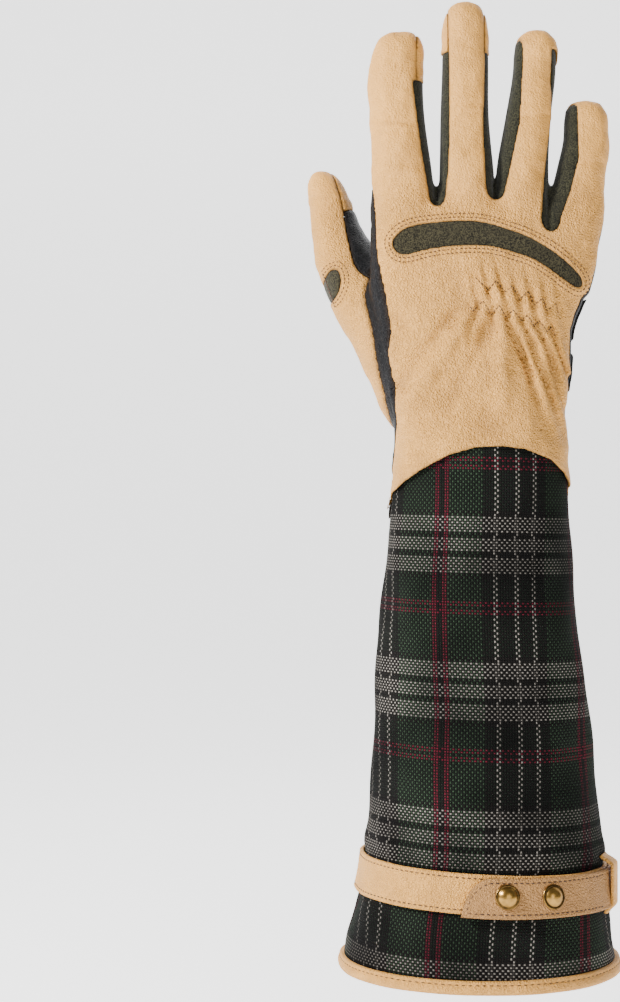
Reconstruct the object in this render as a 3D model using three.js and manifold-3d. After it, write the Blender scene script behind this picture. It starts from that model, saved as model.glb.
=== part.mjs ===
// Leather and tartan gardening glove for the right hand, filled as if worn, fingers up.
// Millimetres. +Z runs from the arm opening to the fingertips, the back of the hand faces -Y,
// and the thumb is on the -X side. The origin is the centre of the arm opening.
import * as THREE from 'three';
import { mergeVertices } from 'three/addons/utils/BufferGeometryUtils.js';
import Module from 'manifold-3d';

const wasm = await Module();
wasm.setup();

// Leather, cloth and gaps
const LEATHER = 1.5;
const CLOTH = 1.2;
const CLOTH_STEP = 0.6;
const GAP = 0.3;
const PATCH = 1.0;

// How round the horizontal sections are: 2 is an ellipse, more is squarer
const HAND_POWER = 2.35;
const FINGER_POWER = 2.25;
const CUFF_POWER = 2.05;

// Points round each section
const HAND_BACK_STEPS = 22;
const HAND_PALM_STEPS = 30;
const HAND_INSIDE_STEPS = 18;
const FINGER_STEPS = 12;
const FINGER_INSIDE_STEPS = 8;
const THUMB_STEPS = 14;
const THUMB_INSIDE_STEPS = 10;
const CUFF_STEPS = 30;

// Heights of the main stations
const HEM_BOTTOM = 0;
const CUFF_BOTTOM = 1.9;
const PALM_EDGE = 178.3;

// How far the cutting blocks reach past the glove
const REACH = 130;
const REACH_UP = 400;
const REACH_DOWN = -40;

// Hand from the wrist to the crotches of the fingers: half width and half depth at each height
const HAND_ROWS = [
  { z: 150, x: -0.9, y: 0, width: 39, depth: 31.5 },
  { z: 176, x: -0.6, y: 0, width: 36.6, depth: 28.5 },
  { z: 187, x: 0, y: 0, width: 35.8, depth: 26.5 },
  { z: 198, x: 0.2, y: 0, width: 35.2, depth: 24.8 },
  { z: 215, x: 0.2, y: 0, width: 33.8, depth: 21.8 },
  { z: 226, x: -1, y: 0, width: 35.2, depth: 20.2 },
  { z: 237, x: -1.5, y: 0, width: 37.4, depth: 19 },
  { z: 254, x: -2.4, y: 0, width: 39.4, depth: 18.2 },
  { z: 268, x: -1.2, y: 0, width: 43.2, depth: 17.4 },
  { z: 282, x: 0.8, y: 0.4, width: 44.4, depth: 16.2 },
  { z: 296, x: 2.4, y: 0.8, width: 45.2, depth: 13.4 },
  { z: 305, x: 3.4, y: 1.2, width: 44.6, depth: 8.8 },
  { z: 311, x: 3.6, y: 1.4, width: 43.6, depth: 3.2 },
];
const HAND_LEVELS = [176, 186, 191, 196, 207, 219, 236, 254, 270, 284, 296, 305, 311];
const HAND_INSIDE_LEVELS = [150, 187, 215, 254, 284, 300, 309.5];

// Fingers: centre line, half width and half depth, with a rounded tip above the last row
const FINGERS = {
  index: {
    top: 374.4,
    dome: 16,
    rows: [
      { z: 280, x: -29.5, y: 0.4, width: 12.8, depth: 13 },
      { z: 300, x: -30, y: 0.8, width: 12.9, depth: 11.6 },
      { z: 317, x: -31, y: 1.2, width: 12.2, depth: 10.4 },
      { z: 339, x: -33, y: 2.2, width: 11.3, depth: 9.6 },
      { z: 355.5, x: -33.3, y: 3.4, width: 11, depth: 9.2 },
      { z: 374.4, x: -31.8, y: 4.4, width: 10.9, depth: 8.8 },
    ],
  },
  middle: {
    top: 385.9,
    dome: 16,
    rows: [
      { z: 280, x: -5, y: 0.4, width: 12.6, depth: 13 },
      { z: 300, x: -5, y: 0.8, width: 12.2, depth: 11.8 },
      { z: 317, x: -5.3, y: 1.2, width: 11.2, depth: 10.6 },
      { z: 340, x: -6, y: 2.4, width: 10, depth: 9.6 },
      { z: 362, x: -5.6, y: 4, width: 9.6, depth: 9 },
      { z: 385.9, x: -5.8, y: 5.4, width: 9.3, depth: 8.6 },
    ],
  },
  ring: {
    top: 374.5,
    dome: 13,
    rows: [
      { z: 280, x: 16, y: 0.4, width: 12.4, depth: 12.6 },
      { z: 300, x: 16.6, y: 0.8, width: 11.6, depth: 11.4 },
      { z: 320, x: 17.2, y: 1.4, width: 10.6, depth: 10.2 },
      { z: 340, x: 19.6, y: 2.6, width: 9.4, depth: 9.2 },
      { z: 358, x: 22.1, y: 4, width: 8.9, depth: 8.6 },
      { z: 374.5, x: 22.3, y: 5.2, width: 8.6, depth: 8.2 },
    ],
  },
  little: {
    top: 346.4,
    dome: 12,
    rows: [
      { z: 268, x: 33.5, y: 0.6, width: 10, depth: 12.4 },
      { z: 288, x: 36.6, y: 1, width: 11, depth: 11.4 },
      { z: 307, x: 39, y: 1.6, width: 11, depth: 10.2 },
      { z: 320, x: 41, y: 2.4, width: 10, depth: 9.2 },
      { z: 331, x: 42.6, y: 3.2, width: 9.2, depth: 8.6 },
      { z: 346.4, x: 42.5, y: 4, width: 9, depth: 8.2 },
    ],
  },
};
const FINGER_DOME_POWER = 2.7;
const DOME_STOPS = [0, 0.56, 0.85, 0.985];
const DOME_INSIDE_STOPS = [0, 0.6, 0.93];
const FINGER_SPACING = 19;
const FINGER_INSIDE_SPACING = 30;

// Thumb and the ball of the thumb, as horizontal sections
const THUMB = {
  top: 323.5,
  dome: 12,
  rows: [
    { z: 213, x: -23, y: 10, width: 9, depth: 11.5 },
    { z: 222, x: -23, y: 10.5, width: 16, depth: 15 },
    { z: 234, x: -23, y: 11, width: 21, depth: 18.4 },
    { z: 248, x: -26, y: 12.5, width: 24.6, depth: 19.4 },
    { z: 262, x: -34, y: 16, width: 24, depth: 18 },
    { z: 274, x: -44, y: 21.5, width: 19, depth: 15.6 },
    { z: 286, x: -51.5, y: 27, width: 14.2, depth: 13.2 },
    { z: 298, x: -56.6, y: 32, width: 10.8, depth: 11.4 },
    { z: 311, x: -60, y: 35.5, width: 8.6, depth: 9.8 },
    { z: 323.5, x: -62.8, y: 38.5, width: 7, depth: 8.2 },
  ],
};
const THUMB_LEVELS = [213, 222, 234, 248, 262, 274, 286, 298];
const THUMB_INSIDE_LEVELS = [216, 234, 262, 286, 298];

// Gauntlet of cloth, from the hem to under the leather
const CUFF_ROWS = [
  { z: -2, x: -0.4, y: 0, width: 55.8, depth: 51 },
  { z: 2, x: -0.4, y: 0, width: 55.2, depth: 50.5 },
  { z: 13, x: -0.6, y: 0, width: 53.4, depth: 48.8 },
  { z: 24, x: -0.2, y: 0, width: 51, depth: 46.6 },
  { z: 37, x: 0.6, y: 0, width: 48.4, depth: 44 },
  { z: 52, x: 1.2, y: 0, width: 47.4, depth: 42.6 },
  { z: 86, x: 0.4, y: 0, width: 44.8, depth: 39 },
  { z: 114, x: -0.4, y: 0, width: 42.4, depth: 36 },
  { z: 142, x: -1, y: 0, width: 39.8, depth: 33 },
  { z: 170, x: -0.8, y: 0, width: 37.2, depth: 29.6 },
  { z: 187, x: 0, y: 0, width: 35.8, depth: 26.5 },
  { z: 212, x: 0.2, y: 0, width: 34, depth: 22.3 },
];
const HEM_LEVELS = [-2, 13];
const CUFF_LEVELS = [...HEM_LEVELS, 24, 37, 50, 98, 150, 187, 209];
const CUFF_INSIDE_LEVELS = [...HEM_LEVELS, 37, 86, 150, 187, 212];

// Elastic gathers: how far the folds stand out at each height, on the palm and on the back
const PALM_FOLD = 1.3;
const PALM_FOLD_POINTS = 3;
const PALM_FOLD_ROWS = [
  { z: 176, share: 0.35 },
  { z: 181, share: 0.7 },
  { z: 186, share: 1 },
  { z: 191, share: 0.55 },
  { z: 196, share: 1 },
  { z: 203, share: 0.7 },
  { z: 211, share: 0.4 },
  { z: 219, share: 0.12 },
  { z: 224, share: 0 },
];
const BACK_FOLD = 1.1;
const BACK_FOLD_POINTS = 2;
const BACK_FOLD_ROWS = [
  { z: 219, share: 0 },
  { z: 228, share: 0.25 },
  { z: 240, share: 0.6 },
  { z: 254, share: 1 },
  { z: 268, share: 1 },
  { z: 282, share: 0.3 },
  { z: 296, share: 0 },
];
const BACK_FOLD_X = [-4, 36];

// Seam between the back and the palm: its depth on the thumb side and on the little-finger side
const SIDE_SEAM_ROWS = [
  { z: 150, thumb: 2, little: 9 },
  { z: 178, thumb: 2, little: 9 },
  { z: 205, thumb: -3, little: 8 },
  { z: 220, thumb: -10.2, little: 3 },
  { z: 250, thumb: -15.6, little: 0 },
  { z: 264, thumb: -16, little: 0 },
  { z: 285, thumb: -9.3, little: 0 },
  { z: 300, thumb: -6, little: 2.5 },
  { z: 315, thumb: 3, little: 4 },
  { z: 390, thumb: 6.5, little: 6.5 },
];

// Gussets between the fingers: the two seams seen from the back and from the palm
const FOURCHETTES = [
  {
    name: 'fourchette_index_middle',
    bottom: { x: -17.5, back: 302.2, palm: 300.5 },
    leftTop: 353,
    rightTop: 364.5,
    rows: [
      { z: 307.5, backLeft: -20.9, backRight: -14.2, palmLeft: -21.6, palmRight: -13.2 },
      { z: 316, backLeft: -22.3, backRight: -13.3, palmLeft: -22.2, palmRight: -12.4 },
      { z: 326, backLeft: -23.9, backRight: -12.8, palmLeft: -23.2, palmRight: -12 },
      { z: 352, backLeft: -27.2, backRight: -12.6, palmLeft: -24.4, palmRight: -11.6 },
    ],
  },
  {
    name: 'fourchette_middle_ring',
    bottom: { x: 5.6, back: 304.8, palm: 299 },
    leftTop: 364.5,
    rightTop: 377,
    rows: [
      { z: 309.5, backLeft: 1.8, backRight: 9.4, palmLeft: 2.6, palmRight: 9.2 },
      { z: 318, backLeft: 1.3, backRight: 11.4, palmLeft: 3.2, palmRight: 9.4 },
      { z: 336, backLeft: 0.9, backRight: 15.2, palmLeft: 2.6, palmRight: 12.2 },
      { z: 361, backLeft: 1.8, backRight: 16.9, palmLeft: 1.9, palmRight: 14.8 },
    ],
  },
  {
    name: 'fourchette_ring_little',
    bottom: { x: 26.8, back: 291.8, palm: 291 },
    leftTop: 366,
    rightTop: 349,
    rows: [
      { z: 297, backLeft: 23.3, backRight: 30.9, palmLeft: 25.4, palmRight: 32 },
      { z: 308, backLeft: 24.4, backRight: 35.1, palmLeft: 24.6, palmRight: 32.4 },
      { z: 322, backLeft: 26, backRight: 38.7, palmLeft: 24.8, palmRight: 33.4 },
      { z: 338, backLeft: 28.2, backRight: 38.6, palmLeft: 25.6, palmRight: 34.8 },
    ],
  },
];
const FOURCHETTE_SPLIT_Y = 2;

// Leather edge over the cloth, seen from the back: an arch that drops at both sides
const ARCH_SPLIT_Y = 4;
const ARCH_POINTS = [
  [-REACH, 172],
  [-38, 179],
  [-35.6, 188.3],
  [-31, 193],
  [-24, 198],
  [-14, 203.4],
  [-4, 206.2],
  [6, 206.8],
  [16, 205.6],
  [26, 201.8],
  [32, 196.6],
  [36, 190.5],
  [38.4, 179],
  [REACH, 172],
];

// Suede let into the back at the knuckles, down to a depth
const KNUCKLE_DEEPEST = -4;
const KNUCKLE_POINTS = [
  [-35.3, 286.7],
  [-34.7, 289.4],
  [-31.1, 292.5],
  [-25.3, 294.4],
  [-18.1, 295.3],
  [-8.9, 295.8],
  [0.3, 295.2],
  [8.2, 292.9],
  [17.4, 289.6],
  [25.4, 285.2],
  [33.4, 279.4],
  [38.1, 274.9],
  [39.7, 271.6],
  [38.1, 269.6],
  [34, 271.5],
  [26.7, 276.6],
  [18.7, 281.1],
  [10.8, 283.7],
  [4.2, 285.5],
  [-3.7, 286.1],
  [-12.8, 285.7],
  [-22, 284.5],
  [-29.8, 282.7],
  [-33.7, 283.5],
];

// Suede sewn over the palm, from the thumb side round the finger roots and back
const PALM_PATCH_POINTS = [
  [-40.2, 309.6],
  [-37.4, 312],
  [-33.4, 311.4],
  [-28.6, 307],
  [-24.4, 301.4],
  [-20.6, 298.2],
  [-16, 299.6],
  [-9, 305.6],
  [-3.6, 303.6],
  [1.4, 297],
  [5.6, 295.6],
  [10.2, 298.6],
  [14.8, 303.4],
  [19.6, 300.6],
  [24.4, 291.6],
  [29, 287.8],
  [34, 291.4],
  [39.6, 296.6],
  [43.6, 295.4],
  [43.8, 277],
  [38.4, 276.2],
  [40.6, 266.4],
  [46, 266],
  [46, 253],
  [36.8, 249.6],
  [37, 244.2],
  [46, 242],
  [46, 229],
  [32, 229.6],
  [24.8, 231.8],
  [20, 237],
  [16.4, 243.6],
  [10.6, 252.2],
  [3.6, 258.8],
  [-3.4, 264.4],
  [-8.6, 270.2],
  [-15.2, 277],
  [-22.2, 283.4],
  [-30.8, 287],
  [-38.4, 290.2],
  [-41, 297],
];
const PALM_PATCH_FRONT_Y = -1;

// Seams of the thumb: the tan back lies on the thumb side of a ruled cut through these lines
const THUMB_SEAM_SPACING = 7;
const THUMB_SEAM_DEPTHS = [-30, -15, 0, 8, 16, 24, 32, 40, 48, 60];
const THUMB_SEAM_ROWS = [
  { z: 205, backX: 10, backY: -40, palmX: -24, palmY: 30 },
  { z: 215, backX: 10, backY: -40, palmX: -27, palmY: 27 },
  { z: 230, backX: -2, backY: -20, palmX: -33, palmY: 29 },
  { z: 246, backX: -20, backY: -8, palmX: -40.5, palmY: 32 },
  { z: 262, backX: -32, backY: -2, palmX: -47, palmY: 33 },
  { z: 272, backX: -40, backY: 5, palmX: -50.5, palmY: 36 },
  { z: 279, backX: -48.5, backY: 10, palmX: -52.5, palmY: 38 },
  { z: 290, backX: -51.6, backY: 15, palmX: -55.2, palmY: 41 },
  { z: 306, backX: -54.4, backY: 25, palmX: -58.4, palmY: 44 },
  { z: 330, backX: -60, backY: 32, palmX: -62.6, palmY: 46 },
];
const THUMB_CAP_HEIGHT = 304;

// Leather tips sewn over the palm side of two fingers, between the seams of the back
const INDEX_CAP = { height: 353, left: -REACH, right: -19, seamLeft: -REACH, seamRight: -25.6 };
const MIDDLE_CAP = { height: 364.5, left: -19, right: 10.5, seamLeft: -12.8, seamRight: 1.6 };

// Suede drop let into the back of the thumb joint
const THUMB_PATCH = { x: -59.2, z: 272.8, width: 3.5, height: 6.8, lean: -0.16, points: 12, deepest: 23 };

// Strap round the gauntlet, with its lapped end, keeper loop and two snaps
const STRAP_HEIGHT = 15;
const STRAP_THICKNESS = 1.7;
const STRAP_LEVEL = { middle: 36.6, slope: -0.044 };
const STRAP_LIFT = 0.4;
const TAB_LIFT = 0.3;
const TAB_THICKNESS = 1.7;
const TAB_END_X = -11.8;
const TAB_ROUND_X = -2.4;
const TAB_STEPS = 10;
const TAB_MARGIN = 4;
const TAB_DEEPEST = 6;
const LOOP = { bottom: 24.4, top: 46.8, width: 8.4, thickness: 1.6 };
const LOOP_CLEARANCE = 0.5;
const LOOP_FOOT = 0.5;
const LOOP_INSET = 0.8;
const LOOP_SHOULDER = 1;
const LOOP_ANGLE = THREE.MathUtils.degToRad(-18);
const SNAPS = [
  { name: 'snap_left', x: 6.3 },
  { name: 'snap_right', x: 24 },
];
const SNAP_RADIUS = 4.8;
const SNAP_DOME = 2.3;
const SNAP_RIM = 0.7;
const SNAP_STEPS = 12;
const SNAP_LIFT = 0.75;
const SNAP_TILT = 0.004;
const SNAP_STOPS = [0, 0.45, 1];

// Leather binding folded over the hem
const BINDING = { top: 5.3, thickness: 1.4 };

// Colours and finish of each material
const FINISHES = {
  tan: { color: 0xd9b98c, roughness: 0.62, metalness: 0 },
  black: { color: 0x2b2b2d, roughness: 0.5, metalness: 0 },
  suede: { color: 0x141414, roughness: 0.95, metalness: 0 },
  olive: { color: 0x48483a, roughness: 0.95, metalness: 0 },
  green: { color: 0x33402f, roughness: 0.95, metalness: 0 },
  tartan: { color: 0x1f2a22, roughness: 0.9, metalness: 0 },
  brass: { color: 0xb08d45, roughness: 0.35, metalness: 0.9 },
};

// Value of every column of a table at a height, as a smooth curve through the rows
function sampleRows(rows, z) {
  const last = rows.length - 1;
  let step = 0;
  while (step < last - 1 && z > rows[step + 1].z) step += 1;
  const low = rows[step];
  const high = rows[step + 1];
  const before = rows[Math.max(step - 1, 0)];
  const after = rows[Math.min(step + 2, last)];
  const span = high.z - low.z;
  const t = THREE.MathUtils.clamp((z - low.z) / span, 0, 1);
  const sampled = {};
  for (const column of Object.keys(low)) {
    const startSlope = ((high[column] - before[column]) / (high.z - before.z)) * span;
    const endSlope = ((after[column] - low[column]) / (after.z - low.z)) * span;
    const rise = high[column] - low[column];
    sampled[column] =
      low[column] +
      startSlope * t +
      (3 * rise - 2 * startSlope - endSlope) * t * t +
      (startSlope + endSlope - 2 * rise) * t * t * t;
  }
  sampled.z = z;
  return sampled;
}

// Point of a rounded section at an angle, moved out by an offset
function sectionPoint(section, angle, power, offset) {
  const across = Math.cos(angle);
  const along = Math.sin(angle);
  const x = Math.sign(across) * Math.abs(across) ** (2 / power) * (section.width + offset);
  const y = Math.sign(along) * Math.abs(along) ** (2 / power) * (section.depth + offset);
  return new THREE.Vector3(section.x + x, section.y + y, section.z);
}

function evenAngles(steps) {
  return Array.from({ length: steps }, (_, step) => (2 * Math.PI * step) / steps);
}

// Closed solid through rings of points, which all have the same count, from the lowest up
function loft(rings) {
  const count = rings[0].length;
  const positions = rings.flat().flatMap((point) => point.toArray());
  const index = [];
  for (let row = 0; row < rings.length - 1; row += 1) {
    for (let step = 0; step < count; step += 1) {
      const lowHere = row * count + step;
      const lowNext = row * count + ((step + 1) % count);
      index.push(lowHere, lowNext, lowNext + count, lowHere, lowNext + count, lowHere + count);
    }
  }
  const topStart = (rings.length - 1) * count;
  for (const [ring, start, up] of [[rings[0], 0, false], [rings.at(-1), topStart, true]]) {
    const middle = new THREE.Vector3();
    for (const point of ring) middle.addScaledVector(point, 1 / count);
    const centre = positions.length / 3;
    positions.push(...middle.toArray());
    for (let step = 0; step < count; step += 1) {
      const here = start + step;
      const next = start + ((step + 1) % count);
      index.push(...(up ? [here, next, centre] : [next, here, centre]));
    }
  }
  return manifoldOf(positions, index);
}

function manifoldOf(positions, index) {
  const mesh = new wasm.Mesh({
    numProp: 3,
    vertProperties: new Float32Array(positions),
    triVerts: new Uint32Array(index),
  });
  return new wasm.Manifold(mesh);
}

// Solid for cutting made from a three.js geometry
function manifoldFrom(geometry) {
  const plain = geometry.clone();
  plain.deleteAttribute('normal');
  plain.deleteAttribute('uv');
  const merged = mergeVertices(plain, 1e-4);
  return manifoldOf(merged.attributes.position.array, merged.index.array);
}

function box(low, high) {
  const size = new THREE.Vector3().subVectors(high, low);
  const middle = new THREE.Vector3().addVectors(high, low).multiplyScalar(0.5);
  const geometry = new THREE.BoxGeometry(size.x, size.y, size.z);
  geometry.translate(middle.x, middle.y, middle.z);
  return manifoldFrom(geometry);
}

// Straight block of an outline in X and Z, between two depths
function prism(points, lowY, highY) {
  const shape = new THREE.Shape(points.map(([x, z]) => new THREE.Vector2(x, z)));
  const geometry = new THREE.ExtrudeGeometry(shape, { depth: highY - lowY, bevelEnabled: false });
  geometry.rotateX(Math.PI / 2);
  geometry.translate(0, highY, 0);
  return manifoldFrom(geometry);
}

// Outline moved out by a distance, or in where it is negative
function grow(points, distance) {
  const area = THREE.ShapeUtils.area(points.map(([x, z]) => new THREE.Vector2(x, z)));
  const outward = area > 0 ? distance : -distance;
  return points.map(([x, z], step) => {
    const [beforeX, beforeZ] = points.at(step - 1);
    const [afterX, afterZ] = points[(step + 1) % points.length];
    const into = new THREE.Vector2(x - beforeX, z - beforeZ).normalize();
    const from = new THREE.Vector2(afterX - x, afterZ - z).normalize();
    const normal = new THREE.Vector2(into.y + from.y, -into.x - from.x).normalize();
    const stretch = outward / Math.max(normal.dot(new THREE.Vector2(into.y, -into.x)), 0.4);
    return [x + normal.x * stretch, z + normal.y * stretch];
  });
}

// Solid between two walls of a shell: what lies inside the first and outside the second
function shellOf(outside, inside) {
  return outside.subtract(inside);
}

function foldShare(rows, z) {
  if (z <= rows[0].z || z >= rows.at(-1).z) {
    return z <= rows[0].z ? rows[0].share : rows.at(-1).share;
  }
  const next = rows.findIndex((row) => row.z >= z);
  const low = rows[next - 1];
  const high = rows[next];
  return THREE.MathUtils.lerp(low.share, high.share, (z - low.z) / (high.z - low.z));
}

// Hand section with the elastic folds standing out of it
function foldedHandRing(z, offset) {
  const section = sampleRows(HAND_ROWS, z);
  const palmShare = PALM_FOLD * foldShare(PALM_FOLD_ROWS, z);
  const backShare = BACK_FOLD * foldShare(BACK_FOLD_ROWS, z);
  const ring = [];
  for (let step = 0; step < HAND_PALM_STEPS; step += 1) {
    const wave = 0.5 - 0.5 * Math.cos((2 * Math.PI * step) / PALM_FOLD_POINTS);
    const angle = (Math.PI * step) / HAND_PALM_STEPS;
    ring.push(sectionPoint(section, angle, HAND_POWER, offset + palmShare * wave));
  }
  for (let step = 0; step < HAND_BACK_STEPS; step += 1) {
    const angle = Math.PI + (Math.PI * step) / HAND_BACK_STEPS;
    const flat = sectionPoint(section, angle, HAND_POWER, offset);
    const gathered = flat.x > BACK_FOLD_X[0] && flat.x < BACK_FOLD_X[1];
    const wave = gathered ? (step % BACK_FOLD_POINTS) / (BACK_FOLD_POINTS - 1) : 0;
    ring.push(sectionPoint(section, angle, HAND_POWER, offset + backShare * wave));
  }
  return ring;
}

function plainRing(rows, z, power, offset, steps) {
  const section = sampleRows(rows, z);
  return evenAngles(steps).map((angle) => sectionPoint(section, angle, power, offset));
}

function handSolid(offset) {
  return loft(HAND_LEVELS.map((z) => foldedHandRing(z, offset)));
}

function handHollow() {
  const rings = HAND_INSIDE_LEVELS.map((z) =>
    plainRing(HAND_ROWS, z, HAND_POWER, -LEATHER, HAND_INSIDE_STEPS),
  );
  return loft(rings);
}

// Finger or thumb with a rounded tip; the levels below the tip are given
function digitSolid(digit, levels, stops, offset, steps) {
  const shoulder = digit.top - digit.dome;
  const rings = levels
    .filter((z) => z < shoulder - 1)
    .map((z) => plainRing(digit.rows, z, FINGER_POWER, offset, steps));
  for (const stop of stops) {
    const section = sampleRows(digit.rows, shoulder + digit.dome * stop);
    const shrink = (1 - stop ** FINGER_DOME_POWER) ** (1 / FINGER_DOME_POWER);
    section.z = shoulder + (digit.dome + offset) * stop;
    section.width = (section.width + offset) * shrink;
    section.depth = (section.depth + offset) * shrink;
    rings.push(evenAngles(steps).map((angle) => sectionPoint(section, angle, FINGER_POWER, 0)));
  }
  return loft(rings);
}

function fingerLevels(digit, spacing) {
  const levels = [];
  for (let z = digit.rows[0].z; z < digit.top - digit.dome; z += spacing) levels.push(z);
  return levels;
}

function union(solids) {
  return solids.reduce((joined, solid) => joined.add(solid));
}

function fingerSolids(offset) {
  return Object.values(FINGERS).map((digit) =>
    digitSolid(digit, fingerLevels(digit, FINGER_SPACING), DOME_STOPS, offset, FINGER_STEPS),
  );
}

function fingerHollows() {
  return Object.values(FINGERS).map((digit) => {
    const levels = fingerLevels(digit, FINGER_INSIDE_SPACING);
    return digitSolid(digit, levels, DOME_INSIDE_STOPS, -LEATHER, FINGER_INSIDE_STEPS);
  });
}

function thumbSolid(offset) {
  return digitSolid(THUMB, THUMB_LEVELS, DOME_STOPS, offset, THUMB_STEPS);
}

function thumbHollowSolid() {
  return digitSolid(THUMB, THUMB_INSIDE_LEVELS, DOME_INSIDE_STOPS, -LEATHER, THUMB_INSIDE_STEPS);
}

function outerSkin(offset) {
  return union([handSolid(offset), ...fingerSolids(offset)]);
}

// Everything on the palm side of the side seams, moved toward the palm by a shift
function palmRegion(shift) {
  const rings = SIDE_SEAM_ROWS.map((row) => [
    new THREE.Vector3(-REACH, row.thumb + shift, row.z),
    new THREE.Vector3(REACH, row.little + shift, row.z),
    new THREE.Vector3(REACH, REACH, row.z),
    new THREE.Vector3(-REACH, REACH, row.z),
  ]);
  return loft(rings);
}

// Everything on the tan side of the thumb's seams
function thumbBackRegion(gap) {
  const lowest = THUMB_SEAM_ROWS[0].z;
  const highest = THUMB_SEAM_ROWS.at(-1).z;
  const rings = [];
  for (let z = lowest; z <= highest; z += THUMB_SEAM_SPACING) {
    const row = sampleRows(THUMB_SEAM_ROWS, z);
    const lean = (row.palmX - row.backX) / (row.palmY - row.backY);
    const seam = THUMB_SEAM_DEPTHS.map((y) => {
      const x = Math.max(row.backX + (y - row.backY) * lean - gap, -REACH + 1);
      return new THREE.Vector3(x, y, z);
    });
    const first = THUMB_SEAM_DEPTHS[0];
    const last = THUMB_SEAM_DEPTHS.at(-1);
    rings.push([
      new THREE.Vector3(-REACH, first, z),
      ...seam,
      new THREE.Vector3(-REACH, last, z),
    ]);
  }
  return loft(rings);
}

// Outline of a gusset in X and Z as seen from one side
function fourchetteOutline(gusset, side) {
  const left = gusset.rows.map((row) => [row[`${side}Left`], row.z]);
  const right = gusset.rows.map((row) => [row[`${side}Right`], row.z]);
  const [topLeftX] = left.at(-1);
  const [topRightX] = right.at(-1);
  const voidX = (topLeftX + topRightX) / 2;
  return [
    [gusset.bottom.x, gusset.bottom[side]],
    ...right,
    [topRightX, gusset.rightTop],
    [voidX, gusset.rightTop],
    [voidX, gusset.leftTop],
    [topLeftX, gusset.leftTop],
    ...left.reverse(),
  ];
}

function fourchetteRegion(gusset, distance) {
  const backOutline = grow(fourchetteOutline(gusset, 'back'), distance);
  const palmOutline = grow(fourchetteOutline(gusset, 'palm'), distance);
  const back = prism(backOutline, -REACH, FOURCHETTE_SPLIT_Y);
  return back.add(prism(palmOutline, FOURCHETTE_SPLIT_Y, REACH));
}

// Below the lower edge of the leather, on the back an arch and on the palm a level line
function belowLeather(shift) {
  const arch = ARCH_POINTS.map(([x, z]) => [x, z + shift]);
  const outline = [[-REACH, REACH_DOWN], [REACH, REACH_DOWN], ...arch.reverse()];
  const back = prism(outline, -REACH, ARCH_SPLIT_Y);
  const low = new THREE.Vector3(-REACH, ARCH_SPLIT_Y, REACH_DOWN);
  const high = new THREE.Vector3(REACH, REACH, PALM_EDGE + shift);
  return back.add(box(low, high));
}

function above(height, lowX, highX) {
  return box(new THREE.Vector3(lowX, -REACH, height), new THREE.Vector3(highX, REACH, REACH_UP));
}

// Largest connected body of a solid, leaving slivers of the cuts behind
function largestBody(solid) {
  const mesh = solid.getMesh();
  const merged = new THREE.BufferGeometry();
  merged.setAttribute('position', new THREE.BufferAttribute(mesh.vertProperties, 3));
  merged.setIndex(new THREE.BufferAttribute(mesh.triVerts, 1));
  const geometry = mergeVertices(merged, 1e-5);
  const triangles = geometry.index.array;
  const owner = Array.from({ length: geometry.attributes.position.count }, (_, point) => point);
  const find = (point) => {
    let root = point;
    while (owner[root] !== root) root = owner[root];
    owner[point] = root;
    return root;
  };
  for (let corner = 0; corner < triangles.length; corner += 3) {
    owner[find(triangles[corner])] = find(triangles[corner + 1]);
    owner[find(triangles[corner + 1])] = find(triangles[corner + 2]);
  }
  const sizes = new Map();
  for (let corner = 0; corner < triangles.length; corner += 3) {
    const body = find(triangles[corner]);
    sizes.set(body, (sizes.get(body) ?? 0) + 1);
  }
  const [largest] = [...sizes].sort((a, b) => b[1] - a[1])[0];
  const kept = [];
  for (let corner = 0; corner < triangles.length; corner += 3) {
    if (find(triangles[corner]) !== largest) continue;
    kept.push(triangles[corner], triangles[corner + 1], triangles[corner + 2]);
  }
  geometry.setIndex(kept);
  return geometry;
}

function named(name, solid, finish) {
  const geometry = largestBody(solid);
  geometry.computeVertexNormals();
  const material = new THREE.MeshStandardMaterial({ ...FINISHES[finish], flatShading: true });
  const mesh = new THREE.Mesh(geometry, material);
  mesh.name = name;
  return mesh;
}

// Leather hand: back, palm, gussets, tips and the two let-in patches
function handPieces() {
  const allHollow = union([handHollow(), ...fingerHollows(), thumbHollowSolid()]);
  const skin = outerSkin(0);
  const thumb = thumbSolid(0);
  const handShell = shellOf(skin, allHollow)
    .subtract(thumbSolid(GAP))
    .subtract(belowLeather(GAP / 2));
  const thumbShell = shellOf(thumb, allHollow);

  const palmSide = palmRegion(GAP / 2);
  const palmWide = palmRegion(-GAP / 2);
  const knuckle = prism(KNUCKLE_POINTS, -REACH, KNUCKLE_DEEPEST);
  const knuckleWindow = prism(grow(KNUCKLE_POINTS, GAP), -REACH, KNUCKLE_DEEPEST);

  const [indexCap, indexCapWide] = capRegions(INDEX_CAP, palmSide, palmWide);
  const [middleCap, middleCapWide] = capRegions(MIDDLE_CAP, palmSide, palmWide);

  const gussets = FOURCHETTES.map((gusset) => ({
    name: gusset.name,
    inside: fourchetteRegion(gusset, 0),
    wide: fourchetteRegion(gusset, GAP),
  }));
  const gussetsWide = union(gussets.map((gusset) => gusset.wide));
  const capsWide = indexCapWide.add(middleCapWide);

  const back = handShell
    .subtract(palmWide)
    .subtract(gussetsWide)
    .subtract(capsWide)
    .subtract(knuckleWindow);
  const palm = handShell.intersect(palmSide).subtract(gussetsWide).subtract(capsWide);
  const pieces = [
    named('back_panel', back, 'tan'),
    named('palm_panel', palm, 'black'),
    named('knuckle_patch', handShell.intersect(knuckle), 'olive'),
    named('index_cap', handShell.intersect(indexCap), 'tan'),
    named('middle_cap', handShell.intersect(middleCap), 'tan'),
  ];
  for (const gusset of gussets) {
    const piece = handShell.intersect(gusset.inside).subtract(capsWide);
    pieces.push(named(gusset.name, piece, 'green'));
  }
  return [...pieces, ...thumbPieces(thumbShell), palmPatch()];
}

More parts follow.
